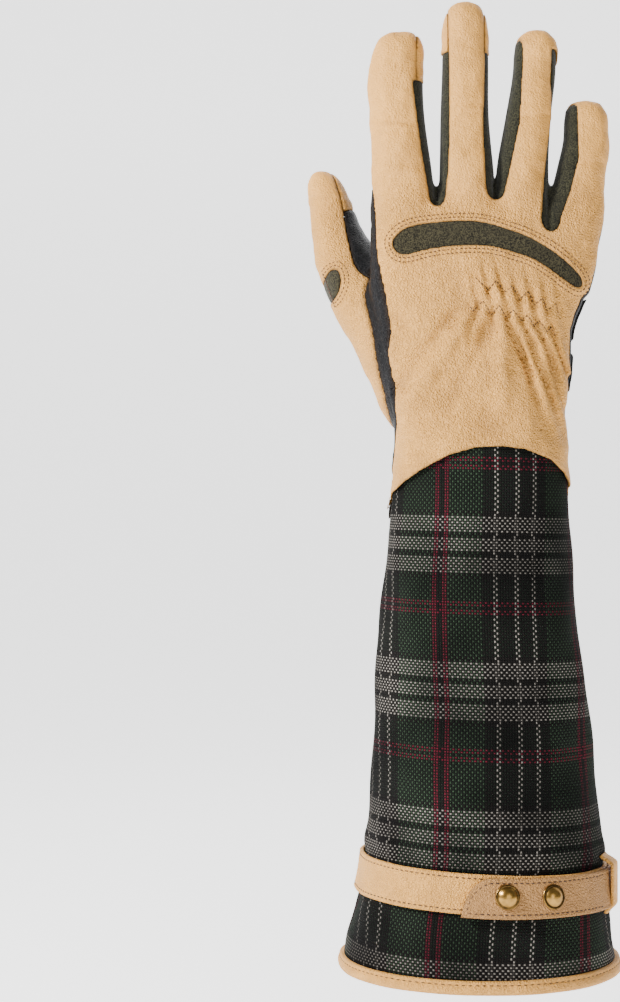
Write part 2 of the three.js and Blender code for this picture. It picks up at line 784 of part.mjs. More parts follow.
// Tip of a finger without the strip of back leather that runs up it, and the same a gap wider
function capRegions(cap, palmSide, palmWide) {
  const strip = (margin, cut) =>
    box(
      new THREE.Vector3(cap.seamLeft - margin, -REACH, REACH_DOWN),
      new THREE.Vector3(cap.seamRight + margin, REACH, REACH_UP),
    ).subtract(cut);
  const tip = above(cap.height, cap.left, cap.right);
  const tipWide = above(cap.height - GAP, cap.left, cap.right);
  return [tip.subtract(strip(GAP, palmSide)), tipWide.subtract(strip(0, palmWide))];
}

function thumbPieces(thumbShell) {
  const tanSide = thumbBackRegion(GAP);
  const blackSide = thumbBackRegion(0);
  const patch = thumbPatchRegion(0);
  const patchWindow = thumbPatchRegion(GAP);
  const cap = above(THUMB_CAP_HEIGHT, -REACH, 0);
  const capWide = above(THUMB_CAP_HEIGHT - GAP, -REACH, 0);
  const front = thumbShell.subtract(blackSide);
  return [
    named('thumb_back', thumbShell.intersect(tanSide).subtract(patchWindow), 'tan'),
    named('thumb_front', front.subtract(capWide), 'black'),
    named('thumb_cap', front.intersect(cap), 'tan'),
    named('thumb_knuckle_patch', thumbShell.intersect(tanSide).intersect(patch), 'olive'),
  ];
}

function thumbPatchRegion(distance) {
  const outline = evenAngles(THUMB_PATCH.points).map((angle) => {
    const rise = Math.sin(angle) * (THUMB_PATCH.height + distance);
    const across = Math.cos(angle) * (THUMB_PATCH.width + distance);
    return [THUMB_PATCH.x + across + rise * -THUMB_PATCH.lean, THUMB_PATCH.z + rise];
  });
  return prism(outline, -REACH, THUMB_PATCH.deepest);
}

// Suede layer over the palm, a gap above the leather
function palmPatch() {
  const over = outerSkin(GAP + PATCH).subtract(outerSkin(GAP));
  const thumbClear = thumbSolid(GAP);
  const outline = prism(PALM_PATCH_POINTS, PALM_PATCH_FRONT_Y, REACH);
  return named('palm_patch', over.intersect(outline).subtract(thumbClear), 'suede');
}

function cuffSolid(offset, levels, steps) {
  return loft(levels.map((z) => plainRing(CUFF_ROWS, z, CUFF_POWER, offset, steps)));
}

function cuffPiece() {
  const outside = cuffSolid(-CLOTH_STEP, CUFF_LEVELS, CUFF_STEPS);
  const inside = cuffSolid(-CLOTH_STEP - CLOTH, CUFF_INSIDE_LEVELS, CUFF_STEPS);
  const walls = shellOf(outside, inside).intersect(belowLeather(-GAP / 2));
  return named('cuff', walls.intersect(above(CUFF_BOTTOM, -REACH, REACH)), 'tartan');
}

// Closed ring round the gauntlet, swept from a loop of points given by offset and height
function ringSweep(loopAt) {
  const positions = [];
  const index = [];
  const angles = evenAngles(CUFF_STEPS);
  const count = loopAt(0).length;
  angles.forEach((angle, step) => {
    const next = (step + 1) % angles.length;
    loopAt(angle).forEach((point, corner) => {
      const after = (corner + 1) % count;
      const here = step * count;
      const beside = next * count;
      positions.push(...point.toArray());
      index.push(here + corner, beside + corner, beside + after);
      index.push(here + corner, beside + after, here + after);
    });
  });
  return manifoldOf(positions, index);
}

// Straight slope of the cloth near the hem, so the binding keeps its gap to it
function hemPoint(angle, offset, z) {
  const [lowZ, highZ] = HEM_LEVELS;
  const low = sectionPoint(sampleRows(CUFF_ROWS, lowZ), angle, CUFF_POWER, offset - CLOTH_STEP);
  const high = sectionPoint(sampleRows(CUFF_ROWS, highZ), angle, CUFF_POWER, offset - CLOTH_STEP);
  return low.lerp(high, (z - lowZ) / (highZ - lowZ));
}

function bindingPiece() {
  const inside = -CLOTH - GAP;
  const thick = BINDING.thickness;
  const loop = [
    [inside - thick, HEM_BOTTOM],
    [GAP + thick, HEM_BOTTOM],
    [GAP + thick, BINDING.top],
    [GAP, BINDING.top],
    [GAP, CUFF_BOTTOM - GAP],
    [inside, CUFF_BOTTOM - GAP],
    [inside, BINDING.top],
    [inside - thick, BINDING.top],
  ];
  const ring = ringSweep((angle) => loop.map(([offset, z]) => hemPoint(angle, offset, z)));
  return named('hem_binding', ring, 'tan');
}

function strapMiddle(x) {
  return STRAP_LEVEL.middle + STRAP_LEVEL.slope * x;
}

// Band round the gauntlet that follows the strap's slope
function strapBand(lowOffset, highOffset) {
  const half = STRAP_HEIGHT / 2;
  const loop = [
    [lowOffset, -half],
    [highOffset, -half],
    [highOffset, 0],
    [highOffset, half],
    [lowOffset, half],
    [lowOffset, 0],
  ];
  return ringSweep((angle) => {
    const level = sampleRows(CUFF_ROWS, STRAP_LEVEL.middle);
    const { x } = sectionPoint(level, angle, CUFF_POWER, 0);
    return loop.map(([offset, rise]) => {
      const section = sampleRows(CUFF_ROWS, strapMiddle(x) + rise);
      return sectionPoint(section, angle, CUFF_POWER, offset - CLOTH_STEP);
    });
  });
}

// Lapped end of the strap: its rounded end seen from the back, running round to the keeper
function tabRegion() {
  const outline = [];
  const half = STRAP_HEIGHT / 2 + TAB_MARGIN;
  const reach = TAB_ROUND_X - TAB_END_X;
  for (let step = 0; step <= TAB_STEPS; step += 1) {
    const angle = Math.PI / 2 + (Math.PI * step) / TAB_STEPS;
    const x = TAB_ROUND_X + Math.cos(angle) * reach;
    outline.push([x, strapMiddle(x) + (Math.sin(angle) * STRAP_HEIGHT) / 2]);
  }
  outline.push([TAB_ROUND_X, strapMiddle(TAB_ROUND_X) - half]);
  outline.push([REACH, strapMiddle(REACH) - half]);
  outline.push([REACH, strapMiddle(REACH) + half]);
  outline.push([TAB_ROUND_X, strapMiddle(TAB_ROUND_X) + half]);
  return prism(outline, -REACH, TAB_DEEPEST);
}

function keeperLoop() {
  const surface = sampleRows(CUFF_ROWS, (LOOP.bottom + LOOP.top) / 2);
  const skin = (z) => {
    const section = sampleRows(CUFF_ROWS, z);
    return section.x + section.width - CLOTH_STEP + LOOP_FOOT;
  };
  const stack = STRAP_LIFT + STRAP_THICKNESS + TAB_LIFT + TAB_THICKNESS + LOOP_CLEARANCE;
  const insideX = surface.x + surface.width - CLOTH_STEP + stack;
  const outsideX = insideX + LOOP.thickness;
  const seat = sectionPoint(surface, LOOP_ANGLE, CUFF_POWER, 0);
  const across = Math.sin(LOOP_ANGLE) / surface.depth;
  const turn = Math.atan2(across, Math.cos(LOOP_ANGLE) / surface.width);
  const middle = strapMiddle(seat.x);
  const lowInside = middle - STRAP_HEIGHT / 2 - LOOP_CLEARANCE;
  const highInside = middle + STRAP_HEIGHT / 2 + LOOP_CLEARANCE;
  const outline = [
    [skin(LOOP.bottom), LOOP.bottom],
    [outsideX, LOOP.bottom + LOOP_SHOULDER],
    [outsideX, LOOP.top - LOOP_SHOULDER],
    [skin(LOOP.top), LOOP.top],
    [skin(highInside), highInside],
    [insideX + LOOP_INSET, highInside],
    [insideX + LOOP_INSET, lowInside],
    [skin(lowInside), lowInside],
  ];
  const band = prism(outline, -LOOP.width / 2, LOOP.width / 2)
    .translate([-surface.x - surface.width, 0, 0])
    .rotate([0, 0, THREE.MathUtils.radToDeg(turn)])
    .translate([seat.x, seat.y, 0]);
  return named('strap_loop', band, 'tan');
}

// Domed snap cap on the lapped end
function snapPiece(snap) {
  const profile = [new THREE.Vector2(0, 0), new THREE.Vector2(SNAP_RADIUS, 0)];
  for (const share of SNAP_STOPS) {
    const angle = (share * Math.PI) / 2;
    const radius = share === 1 ? 0 : SNAP_RADIUS * Math.cos(angle);
    profile.push(new THREE.Vector2(radius, SNAP_RIM + SNAP_DOME * Math.sin(angle)));
  }
  const geometry = new THREE.LatheGeometry(profile, SNAP_STEPS);
  const z = strapMiddle(snap.x);
  const section = sampleRows(CUFF_ROWS, z);
  const lift = STRAP_LIFT + STRAP_THICKNESS + TAB_LIFT + TAB_THICKNESS - CLOTH_STEP + SNAP_LIFT;
  const turn = Math.asin((snap.x - section.x) / (section.width + lift));
  const angle = -Math.PI / 2 + turn;
  const seat = sectionPoint(section, angle, CUFF_POWER, lift);
  const mesh = named(snap.name, manifoldFrom(geometry), 'brass');
  mesh.position.set(snap.x, seat.y, z);
  const outward = new THREE.Vector3(
    Math.sin(turn) / section.width,
    -Math.cos(turn) / section.depth,
    SNAP_TILT,
  ).normalize();
  mesh.quaternion.setFromUnitVectors(new THREE.Vector3(0, 1, 0), outward);
  return mesh;
}

const glove = new THREE.Group();
glove.add(...handPieces());
glove.add(cuffPiece());
glove.add(bindingPiece());
const strapLow = STRAP_LIFT;
const strapHigh = STRAP_LIFT + STRAP_THICKNESS;
glove.add(named('strap', strapBand(strapLow, strapHigh), 'tan'));
const tabBand = strapBand(strapHigh + TAB_LIFT, strapHigh + TAB_LIFT + TAB_THICKNESS);
glove.add(named('strap_tab', tabBand.intersect(tabRegion()), 'tan'));
glove.add(keeperLoop());
for (const snap of SNAPS) glove.add(snapPiece(snap));

export default glove;
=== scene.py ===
import math
from functools import reduce
from itertools import product

import bpy
import numpy as np
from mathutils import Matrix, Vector


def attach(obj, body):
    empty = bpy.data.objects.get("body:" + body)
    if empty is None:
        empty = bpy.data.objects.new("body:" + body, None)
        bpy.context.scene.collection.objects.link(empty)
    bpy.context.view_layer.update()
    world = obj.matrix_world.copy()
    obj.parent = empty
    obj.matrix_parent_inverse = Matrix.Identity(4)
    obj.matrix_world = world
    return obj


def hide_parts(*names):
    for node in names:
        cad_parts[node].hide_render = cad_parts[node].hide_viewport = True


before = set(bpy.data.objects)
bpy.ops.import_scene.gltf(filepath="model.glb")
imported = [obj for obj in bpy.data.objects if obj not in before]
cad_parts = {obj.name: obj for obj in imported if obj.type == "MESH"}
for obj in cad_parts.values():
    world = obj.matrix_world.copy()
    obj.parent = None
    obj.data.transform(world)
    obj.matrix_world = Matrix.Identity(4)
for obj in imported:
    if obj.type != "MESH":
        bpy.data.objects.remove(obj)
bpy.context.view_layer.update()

# Lengths are in millimetres until a mesh is made
MM = 0.001
VOXEL = 0.75
GRID_LOW = (-76, -33, 170)
GRID_HIGH = (57, 53, 389)
FAR = 60.0
SHORTEST = 1e-9
LAST_CELL = 1.001

# Leather and how it meets at seams
LEATHER = 1.5
SEAM_OVERLAP = 0.25
SEAM_ROUND = 1.1
WALL_ROUND = 0.5
SMOOTHING = (0.6, -0.55, 0.6, -0.55, 0.6, -0.5, 0.5)
WEB_ROUND = 3.0
THUMB_ROUND = 1.6
HAND_TOP_ROUND = 1.5
FINGER_FOOT_ROUND = 2.0
THUMB_FOOT_ROUND = 6.0
THUMB_ROOT_SHIFT = 1.0
PATCH_LIFT = 1.1
PATCH_RELIEF = 0.4
PATCH_THICKNESS = 1.2

# How round the horizontal sections are: 2 is an ellipse, more is squarer
HAND_POWER = 2.35
FINGER_POWER = 2.25
CUFF_POWER = 2.05
DOME_POWER = 2.7

# Sections: height, centre x, centre y, half width, half depth
HAND_ROWS = [
    (150, -0.9, 0, 39, 31.5),
    (176, -0.6, 0, 36.6, 28.5),
    (187, 0, 0, 35.8, 26.5),
    (198, 0.2, 0, 35.2, 24.8),
    (215, 0.2, 0, 33.8, 21.8),
    (226, -1, 0, 35.2, 20.2),
    (237, -1.5, 0, 37.4, 19),
    (254, -2.4, 0, 39.4, 18.2),
    (268, -1.2, 0, 43.2, 17.4),
    (282, 0.8, 0.4, 44.4, 16.2),
    (296, 2.4, 0.8, 45.2, 13.4),
    (305, 3.4, 1.2, 44.6, 8.8),
    (311, 3.6, 1.4, 43.6, 3.2),
]
FINGERS = {
    "index": {
        "top": 374.4,
        "dome": 16,
        "rows": [
            (280, -29.5, 0.4, 12.8, 13),
            (300, -30, 0.8, 12.9, 11.6),
            (317, -31, 1.2, 12.2, 10.4),
            (339, -33, 2.2, 11.3, 9.6),
            (355.5, -33.3, 3.4, 11, 9.2),
            (374.4, -31.8, 4.4, 10.9, 8.8),
        ],
    },
    "middle": {
        "top": 385.9,
        "dome": 16,
        "rows": [
            (280, -5, 0.4, 12.6, 13),
            (300, -5, 0.8, 12.2, 11.8),
            (317, -5.3, 1.2, 11.2, 10.6),
            (340, -6, 2.4, 10, 9.6),
            (362, -5.6, 4, 9.6, 9),
            (385.9, -5.8, 5.4, 9.3, 8.6),
        ],
    },
    "ring": {
        "top": 374.5,
        "dome": 13,
        "rows": [
            (280, 16, 0.4, 12.4, 12.6),
            (300, 16.6, 0.8, 11.6, 11.4),
            (320, 17.2, 1.4, 10.6, 10.2),
            (340, 19.6, 2.6, 9.4, 9.2),
            (358, 22.1, 4, 8.9, 8.6),
            (374.5, 22.3, 5.2, 8.6, 8.2),
        ],
    },
    "little": {
        "top": 346.4,
        "dome": 12,
        "rows": [
            (268, 33.5, 0.6, 10, 12.4),
            (288, 36.6, 1, 11, 11.4),
            (307, 39, 1.6, 11, 10.2),
            (320, 41, 2.4, 10, 9.2),
            (331, 42.6, 3.2, 9.2, 8.6),
            (346.4, 42.5, 4, 9, 8.2),
        ],
    },
}
THUMB = {
    "top": 323.5,
    "dome": 12,
    "rows": [
        (213, -23, 10, 9, 11.5),
        (222, -23, 10.5, 16, 15),
        (234, -23, 11, 21, 18.4),
        (248, -26, 12.5, 24.6, 19.4),
        (262, -34, 16, 24, 18),
        (274, -44, 21.5, 19, 15.6),
        (286, -51.5, 27, 14.2, 13.2),
        (298, -56.6, 32, 10.8, 11.4),
        (311, -60, 35.5, 8.6, 9.8),
        (323.5, -62.8, 38.5, 7, 8.2),
    ],
}
CUFF_ROWS = [
    (-2, -0.4, 0, 55.8, 51),
    (2, -0.4, 0, 55.2, 50.5),
    (13, -0.6, 0, 53.4, 48.8),
    (24, -0.2, 0, 51, 46.6),
    (37, 0.6, 0, 48.4, 44),
    (52, 1.2, 0, 47.4, 42.6),
    (86, 0.4, 0, 44.8, 39),
    (114, -0.4, 0, 42.4, 36),
    (142, -1, 0, 39.8, 33),
    (170, -0.8, 0, 37.2, 29.6),
    (187, 0, 0, 35.8, 26.5),
    (212, 0.2, 0, 34, 22.3),
]

# Seam between back and palm: height, depth on the thumb side, depth on the little-finger side
SIDE_REACH = 130
SIDE_SEAM_ROWS = [
    (150, 2, 9),
    (178, 2, 9),
    (205, -3, 8),
    (220, -10.2, 3),
    (250, -15.6, 0),
    (264, -16, 0),
    (285, -9.3, 0),
    (300, -6, 2.5),
    (315, 3, 4),
    (390, 6.5, 6.5),
]

# Gussets between the fingers: height, then left and right seam seen from the back and the palm
GUSSET_SPLIT_Y = 2
GUSSET_BLEND = 4
GUSSET_SINK = 0.35
GUSSET_LAP = 0.5
GUSSET_CREASE = {"depth": 1.1, "width": 0.8, "fade": 2, "front": -4}
GUSSET_ARC_POINTS = 9
GUSSETS = [
    {
        "name": "fourchette_index_middle",
        "floors": (302.2, 300.5),
        "crease": (-17.9, 312),
        "left_top": 353,
        "right_top": 364.5,
        "rows": [
            (307.5, -20.9, -14.2, -21.6, -13.2),
            (316, -22.3, -13.3, -22.2, -12.4),
            (326, -23.9, -12.8, -23.2, -12),
            (352, -27.2, -12.6, -24.4, -11.6),
        ],
    },
    {
        "name": "fourchette_middle_ring",
        "floors": (304.8, 299),
        "crease": (5.4, 314.5),
        "left_top": 364.5,
        "right_top": 377,
        "rows": [
            (309.5, 1.8, 9.4, 2.6, 9.2),
            (318, 1.3, 11.4, 3.2, 9.4),
            (336, 0.9, 15.2, 2.6, 12.2),
            (361, 1.8, 16.9, 1.9, 14.8),
        ],
    },
    {
        "name": "fourchette_ring_little",
        "floors": (291.8, 291),
        "crease": (26.5, 309),
        "left_top": 366,
        "right_top": 349,
        "rows": [
            (297, 23.3, 30.9, 25.4, 32),
            (308, 24.4, 35.1, 24.6, 32.4),
            (322, 26, 38.7, 24.8, 33.4),
            (338, 28.2, 38.6, 25.6, 34.8),
        ],
    },
]

# Lower edge of the leather over the cloth, seen from the back, and level on the palm
PALM_EDGE = 178.3
ARCH_SPLIT_Y = 4
ARCH_BLEND = 3
ARCH_POINTS = [
    (-60, 172), (-38, 179), (-35.6, 188.3), (-31, 193), (-24, 198), (-14, 203.4),
    (-4, 206.2), (6, 206.8), (16, 205.6), (26, 201.8), (32, 196.6), (36, 190.5),
    (38.4, 179), (60, 172),
]

# Raised seams on the palm leather beside the thumb, as distances from the edge of the back
SIDE_RIDGES = (2, 4.6)
SIDE_RIDGE_REACH = (12, 24)
SIDE_RIDGE_FOOT = (192, 200)

# Raised lips beside the seams: height and width
LIPS = {
    "knuckle": (0.35, 1.5),
    "gusset": (0.4, 1.2),
    "edge": (0.3, 2.5),
    "thumb": (0.45, 1.4),
    "ridge": (0.4, 0.6),
}

# Unevenness of the leather: seed, shortest and longest wave, height
UNEVEN_WAVES = 26
BACK_UNEVEN = [
    (3, 12, 40, 0.45),
    (4, 3.5, 9, 0.12),
]
PALM_UNEVEN = [
    (5, 14, 40, 0.28),
    (6, 4, 9, 0.07),
]
FLAT_AT_KNUCKLE = 0.8
KNUCKLE_FADE = (0.5, 4)
PALM_BLEND = 3
THUMB_SIDE_SHARE = 0.6

# Suede let into the back at the knuckles
KNUCKLE_FRONT = -4
KNUCKLE_SINK = 0.5
KNUCKLE_LAP = 0.7
KNUCKLE_THICKNESS = 2.0
KNUCKLE_POINTS = [
    (-35.3, 286.7), (-34.7, 289.4), (-31.1, 292.5), (-25.3, 294.4), (-18.1, 295.3), (-8.9, 295.8),
    (0.3, 295.2), (8.2, 292.9), (17.4, 289.6), (25.4, 285.2), (33.4, 279.4), (38.1, 274.9),
    (39.7, 271.6), (38.1, 269.6), (34, 271.5), (26.7, 276.6), (18.7, 281.1), (10.8, 283.7),
    (4.2, 285.5), (-3.7, 286.1), (-12.8, 285.7), (-22, 284.5), (-29.8, 282.7), (-33.7, 283.5),
]

# Suede sewn over the palm
PALM_PATCH_FRONT = -1
PALM_PATCH_POINTS = [
    (-40.2, 309.6), (-37.4, 312), (-33.4, 311.4), (-28.6, 307), (-24.4, 301.4), (-20.6, 298.2),
    (-16, 299.6), (-9, 305.6), (-3.6, 303.6), (1.4, 297), (5.6, 295.6), (10.2, 298.6),
    (14.8, 303.4), (19.6, 300.6), (24.4, 291.6), (29, 287.8), (34, 291.4), (39.6, 296.6),
    (43.6, 295.4), (43.8, 277), (38.4, 276.2), (40.6, 266.4), (46, 266), (46, 253),
    (36.8, 249.6), (37, 244.2), (46, 242), (46, 229), (32, 229.6), (24.8, 231.8),
    (20, 237), (16.4, 243.6), (10.6, 252.2), (3.6, 258.8), (-3.4, 264.4), (-8.6, 270.2),
    (-15.2, 277), (-22.2, 283.4), (-30.8, 287), (-38.4, 290.2), (-41, 297),
]

# Seam of the thumb: height, a point of the seam on the back, a point of it on the palm side
THUMB_SEAM_ROWS = [
    (205, 10, -40, -24, 30),
    (215, 10, -40, -27, 27),
    (230, -2, -20, -33, 29),
    (246, -20, -8, -40.5, 32),
    (262, -32, -2, -47, 33),
    (272, -40, 5, -50.5, 36),
    (279, -48.5, 10, -52.5, 38),
    (290, -51.6, 15, -55.2, 41),
    (306, -54.4, 25, -58.4, 44),
    (330, -60, 32, -62.6, 46),
]
THENAR_POINTS = [
    (-26, 213.5), (-17, 216.4), (-8.6, 223.6), (-2.6, 234.5), (-0.6, 245.5), (-2, 254.5),
    (-5.6, 264.6), (-11, 274),
]
THUMB_CAP = {"height": 304, "slope": 0.35, "x": -57}
THUMB_PATCH = {"x": -59.2, "z": 272.8, "width": 3.5, "height": 6.8, "lean": -0.16, "deepest": 23, "sink": 0.4}

# Tips: height of the edge, its side limits, the strip of back leather between, and the stitched part
INDEX_CAP = {
    "height": 353,
    "left": -90,
    "right": -19,
    "seam_left": -90,
    "seam_right": -25.6,
    "stitched": (-44, -23),
}
MIDDLE_CAP = {
    "height": 364.5,
    "left": -19,
    "right": 10.5,
    "seam_left": -12.8,
    "seam_right": 1.6,
    "stitched": (-15.5, 3.5),
}

# Puffs of gathered leather: how round the creases are, how full the folds, and their mean height
PUFF_CREASE = 0.04
PUFF_POWER = 0.4
PUFF_MEAN = 0.66

# Elastic gathers on the back: stitched rows, from left to right
SHIRR_UPPER = [
    (-3.4, 273.2), (1.7, 268.1), (4.8, 271.6), (8.7, 267.3), (11.1, 269.7), (14.2, 264.6),
    (17.7, 267.7), (20.1, 262.6), (23.2, 265), (25.2, 260.3), (28.7, 263), (29.9, 258.3),
]
SHIRR_LOWER = [
    (-5.4, 261.8), (-4.2, 259.9), (-0.3, 263.8), (2.9, 258.3), (6, 261.8), (8.7, 257.5), (11.5, 260.3),
    (14.6, 256.4), (17.4, 258.3), (19.7, 254), (22, 256.4), (25.2, 252), (27.1, 254), (28.7, 250.9),
]
SHIRR = {
    "left": -5,
    "right": 32,
    "pitch": 5.9,
    "first": 1.9,
    "lean": 0.22,
    "middle": 6,
    "spread": 0.08,
    "fan_left": 2.2,
    "fan_right": 11.2,
    "row_height": 270.3,
    "row_slope": -0.33,
    "between": 9.6,
    "puff": 2.9,
    "pinch": 0.8,
    "calm_rows": 0.3,
    "sway": 0.13,
    "sway_up": 0.31,
    "sway_across": 0.4,
    "sway_from": 8,
    "side_fade": 3,
    "reach": 14,
    "reach_slope": 1.1,
    "reach_limits": (10, 44),
    "fade_power": 1.5,
    "fade_above": 0.75,
    "above": (0, 12, 20),
    "row_fade": 4,
    "fine_puff": 0.7,
    "fine_shift": 0.3,
    "fine_heights": (-9, -2),
    "pinch_width": 1.0,
}

# Elastic gathers round the palm side of the wrist
GATHER = {
    "folds": 11,
    "left": -37,
    "right": 38,
    "puff": 2.5,
    "pinch": 1.1,
    "pinch_width": 0.9,
    "sway": 0.12,
    "sway_across": 0.9,
    "sway_up": 0.13,
}
GATHER_ROWS = [
    (176, 0.35),
    (181, 0.65),
    (186, 0.8),
    (191, 1),
    (196, 0.8),
    (202, 0.85),
    (211, 0.45),
    (219, 0.15),
    (226, 0),
]
ZIGZAGS = [
    {"height": 195.7, "swing": 1.9, "count": 11},
    {"height": 186.1, "swing": 1.9, "count": 11},
]

# Soft folds: from x, z to x, z, how wide and how high (below zero for a crease)
FOLD_STRENGTH = 2
FOLD_ENDS = 0.35
BACK_FOLDS = [
    (-6, 259, -14, 245, 2.6, 0.9),
    (-14, 245, -31, 221, 3.2, 0.7),
    (-9.5, 261, -24, 243, 2.2, -0.55),
    (-24, 243, -36, 226, 2.8, -0.5),
    (1, 256, -4, 240, 2.4, -0.7),
    (-4, 240, -16, 219, 3, -0.55),
    (7, 254, 8, 236, 2.6, 0.8),
    (8, 236, 6, 218, 3, 0.45),
    (13, 252, 19, 232, 1.5, -0.9),
    (19, 232, 25, 214, 2, -0.7),
    (19.5, 250, 25.5, 232, 1.4, -0.9),
    (25.5, 232, 29.5, 217, 1.8, -0.6),
    (26, 248, 30.5, 233, 1.3, -0.8),
    (-30, 214, -14, 206, 3.4, 0.4),
    (14, 214, 30, 206, 3.2, 0.35),
    (-37, 262, -30, 252, 2.2, -0.3),
    (-39, 248, -33, 236, 2.4, 0.35),
]
FINGER_CREASES = [
    (-41, 336, -25, 335, 0.9, -0.4),
    (-41, 332.5, -26, 331.5, 0.8, -0.3),
    (-15, 343, 3, 343, 0.9, -0.35),
    (-14, 339, 3, 339.5, 0.8, -0.3),
    (12, 338, 26, 339.5, 0.9, -0.35),
    (34, 319, 50, 320.5, 0.9, -0.35),
    (-42, 318, -24, 315, 1.6, 0.3),
    (-12, 322, 2, 322, 1.8, 0.3),
    (10, 318, 24, 320, 1.8, 0.3),
]
THUMB_FOLDS = [
    (-47, 270, -60, 262, 1.1, -0.55),
    (-45, 266.5, -57, 257, 1.3, -0.4),
    (-58, 292, -66, 289, 1, -0.35),
    (-59, 296, -66, 293.5, 0.9, -0.3),
]
PALM_CREASES = [
    (-44, 325.5, -22, 325.5, 1, -0.55),
    (-44, 311.9, -20, 311.9, 1.1, -0.5),
    (-17, 333.9, 5, 333.9, 1, -0.55),
    (-17, 322.7, 5, 322.7, 1, -0.45),
    (8, 329.1, 30, 329.1, 1, -0.5),
    (8, 321.9, 30, 321.9, 1, -0.45),
    (32, 314, 52, 316, 1, -0.5),
    (32, 306, 52, 307, 1, -0.4),
    (0, 262, 26, 226, 2.4, -0.5),
    (8, 250, 22, 214, 2.6, 0.5),
    (22, 226, 30, 205, 2.4, -0.5),
]

# Strap, its lapped end, keeper loop and snaps; the strap's level is its height at x = 0 and its slope
STRAP_HEIGHT = 15
STRAP_THICKNESS = 1.7
STRAP_LEVEL = (36.6, -0.044)
STRAP_LIFT = 0.4
TAB_LIFT = 0.3
TAB_TOP = STRAP_LIFT + 2 * STRAP_THICKNESS + TAB_LIFT
BAND = {
    "groove_inset": 1.6,
    "groove_depth": 0.22,
    "groove_width": 0.45,
    "edge": 0.5,
    "steps": 25,
    "outer_round": 0.45,
    "inner_round": 0.3,
    "inner_edge": 0.1,
    "inner_flat": 0.6,
    "sway": 0.15,
    "waves": 5,
    "fine_sway": 0.1,
    "fine_waves": 13,
}
TAB = {
    "full_x": 1.8,
    "reach": 12.4,
    "drop": 0.8,
    "drop_over": 40,
    "last_y": 5,
    "tip_gap": 0.02,
    "tip_power": 2.2,
    "steps": 120,
    "crowding": 1.5,
}
TAB_STITCH = {"sink": 0.15, "inset": 1.7, "tip": 1.6, "shift": 1.2, "last_x": 46, "steps": 400}
LOOP = {
    "bottom": 24.4,
    "top": 46.8,
    "width": 8.4,
    "thickness": 1.6,
    "clearance": 0.5,
    "angle": -18,
    "foot_gap": 0.3,
    "bend": 0.16,
    "path_steps": 40,
    "round_steps": 20,
    "wide_power": 0.3,
    "thick_power": 0.6,
}
SNAPS = {"snap_left": 6.3, "snap_right": 24}
SNAP_STEPS = 48
SNAP_SINK = 0.1
SNAP_TILT = 0.004
# Radii of the snaps' rolled rim, where shade is painted into the brass colour
SNAP_RIM_SHADE_RADII = (3.5, 4.7)

# Half section of a snap: radius, height
SNAP_PROFILE = [
    (0, 0), (3.8, 0), (4.5, 0.15), (4.8, 0.55), (4.75, 0.95), (4.45, 1.2), (4.1, 1.22), (3.85, 1.1),
    (3.7, 1.2), (3.45, 1.5), (2.9, 2.05), (2.2, 2.5), (1.4, 2.8), (0.7, 2.93), (0, 2.96),
]

# Cloth of the gauntlet and its hem
CLOTH_STEP = 0.6
CLOTH = 1.2
CUFF_BOTTOM = 1.9
CUFF_RIM = 190.0
CUFF_LAP = 2.5
CUFF_GRID = ((230, 150))
BINDING_TOP = 5.3

# Section of the hem binding: distance out from the cloth, height
HEM_PROFILE = [
    (-1.9, BINDING_TOP), (-2.4, BINDING_TOP - 0.1), (-2.9, BINDING_TOP - 0.7), (-3.0, 3), (-2.9, 1.4),
    (-2.3, 0.4), (-1.2, 0), (0, -0.05), (0.9, 0.1), (1.55, 0.7), (1.9, 1.6), (2.0, 2.5), (1.85, 3.2),
    (1.5, 3.65), (1.35, 3.85), (1.5, 4.1), (1.65, 4.45), (1.5, 4.9), (1.1, BINDING_TOP - 0.05),
    (0.6, BINDING_TOP), (0, BINDING_TOP - 0.1),
]

# Folds of the cloth: heights, and where they start and end
CUFF_FOLDS = {
    "flute": 0.9,
    "slack": 0.8,
    "ripple": 0.45,
    "pucker": 1.1,
    "flare": 0.5,
    "palm_side": (-0.1, 0.5),
    "flute_heights": (120, 178),
    "above": 5,
    "below": 6,
    "reach": 50,
    "hem_calm": (6, 16),
    "top_calm": (172, 186),
    "calm": 0.6,
    "drawn_in": 0.2,
}

# Waves of the cloth: number round the cuff, turn per millimetre of height, and start
CUFF_WAVES = {
    "flute": (11, 0, 0.6),
    "slack": (3, 0.045, 0.6),
    "slack_swell": (2, 0.05, 0),
    "ripple": (7, -0.07, 0),
    "ripple_swell": (0, 0.11, 1.3),
    "pucker": (13, 0.2, 0),
    "flare": (9, 0, 1),
}

# Woven check: threads per repeat and the thread where each colour starts, from the front centre line
WARP_PITCH = 1.05
WARP_REPEAT = 60
WARP_COLOURS = [
    (0, "dark"), (2, "white"), (4, "dark"), (10, "white"), (12, "dark"), (17, "white"), (19, "dark"),
    (23, "green"), (39, "red"), (41, "dark"), (43, "red"), (45, "green"), (58, "dark"),
]
WEFT_PITCH = 1.0566
WEFT_REPEAT = 53
WEFT_COLOURS = [
    (0, "white"), (3, "dark"), (5, "white"), (11, "dark"), (13, "deep"), (28, "red"), (30, "dark"),
    (31, "red"), (33, "deep"), (41, "dark"), (43, "white"), (49, "dark"), (51, "white"),
]
THREADS = {
    "green": (0.042, 0.075, 0.04),
    "deep": (0.009, 0.017, 0.009),
    "dark": (0.011, 0.008, 0.007),
    "red": (0.18, 0.012, 0.03),
    "white": (0.37, 0.335, 0.295),
}
PALM_WARP_START = 31.5
WEFT_TILT = 0.022
THREAD_JUMP = 5
WARP_DRIFT_ROWS = [
    (0, -3.2),
    (60, -0.6),
    (105, 1.2),
    (210, 1.2),
]

# Camera at the photo's place
CAMERA = {
    "place": (-68, -800, 185.5),
    "focal_pixels": 2000,
    "frame_height": 1002,
    "sensor": 36,
    "nearest": 0.01,
    "farthest": 20,
}

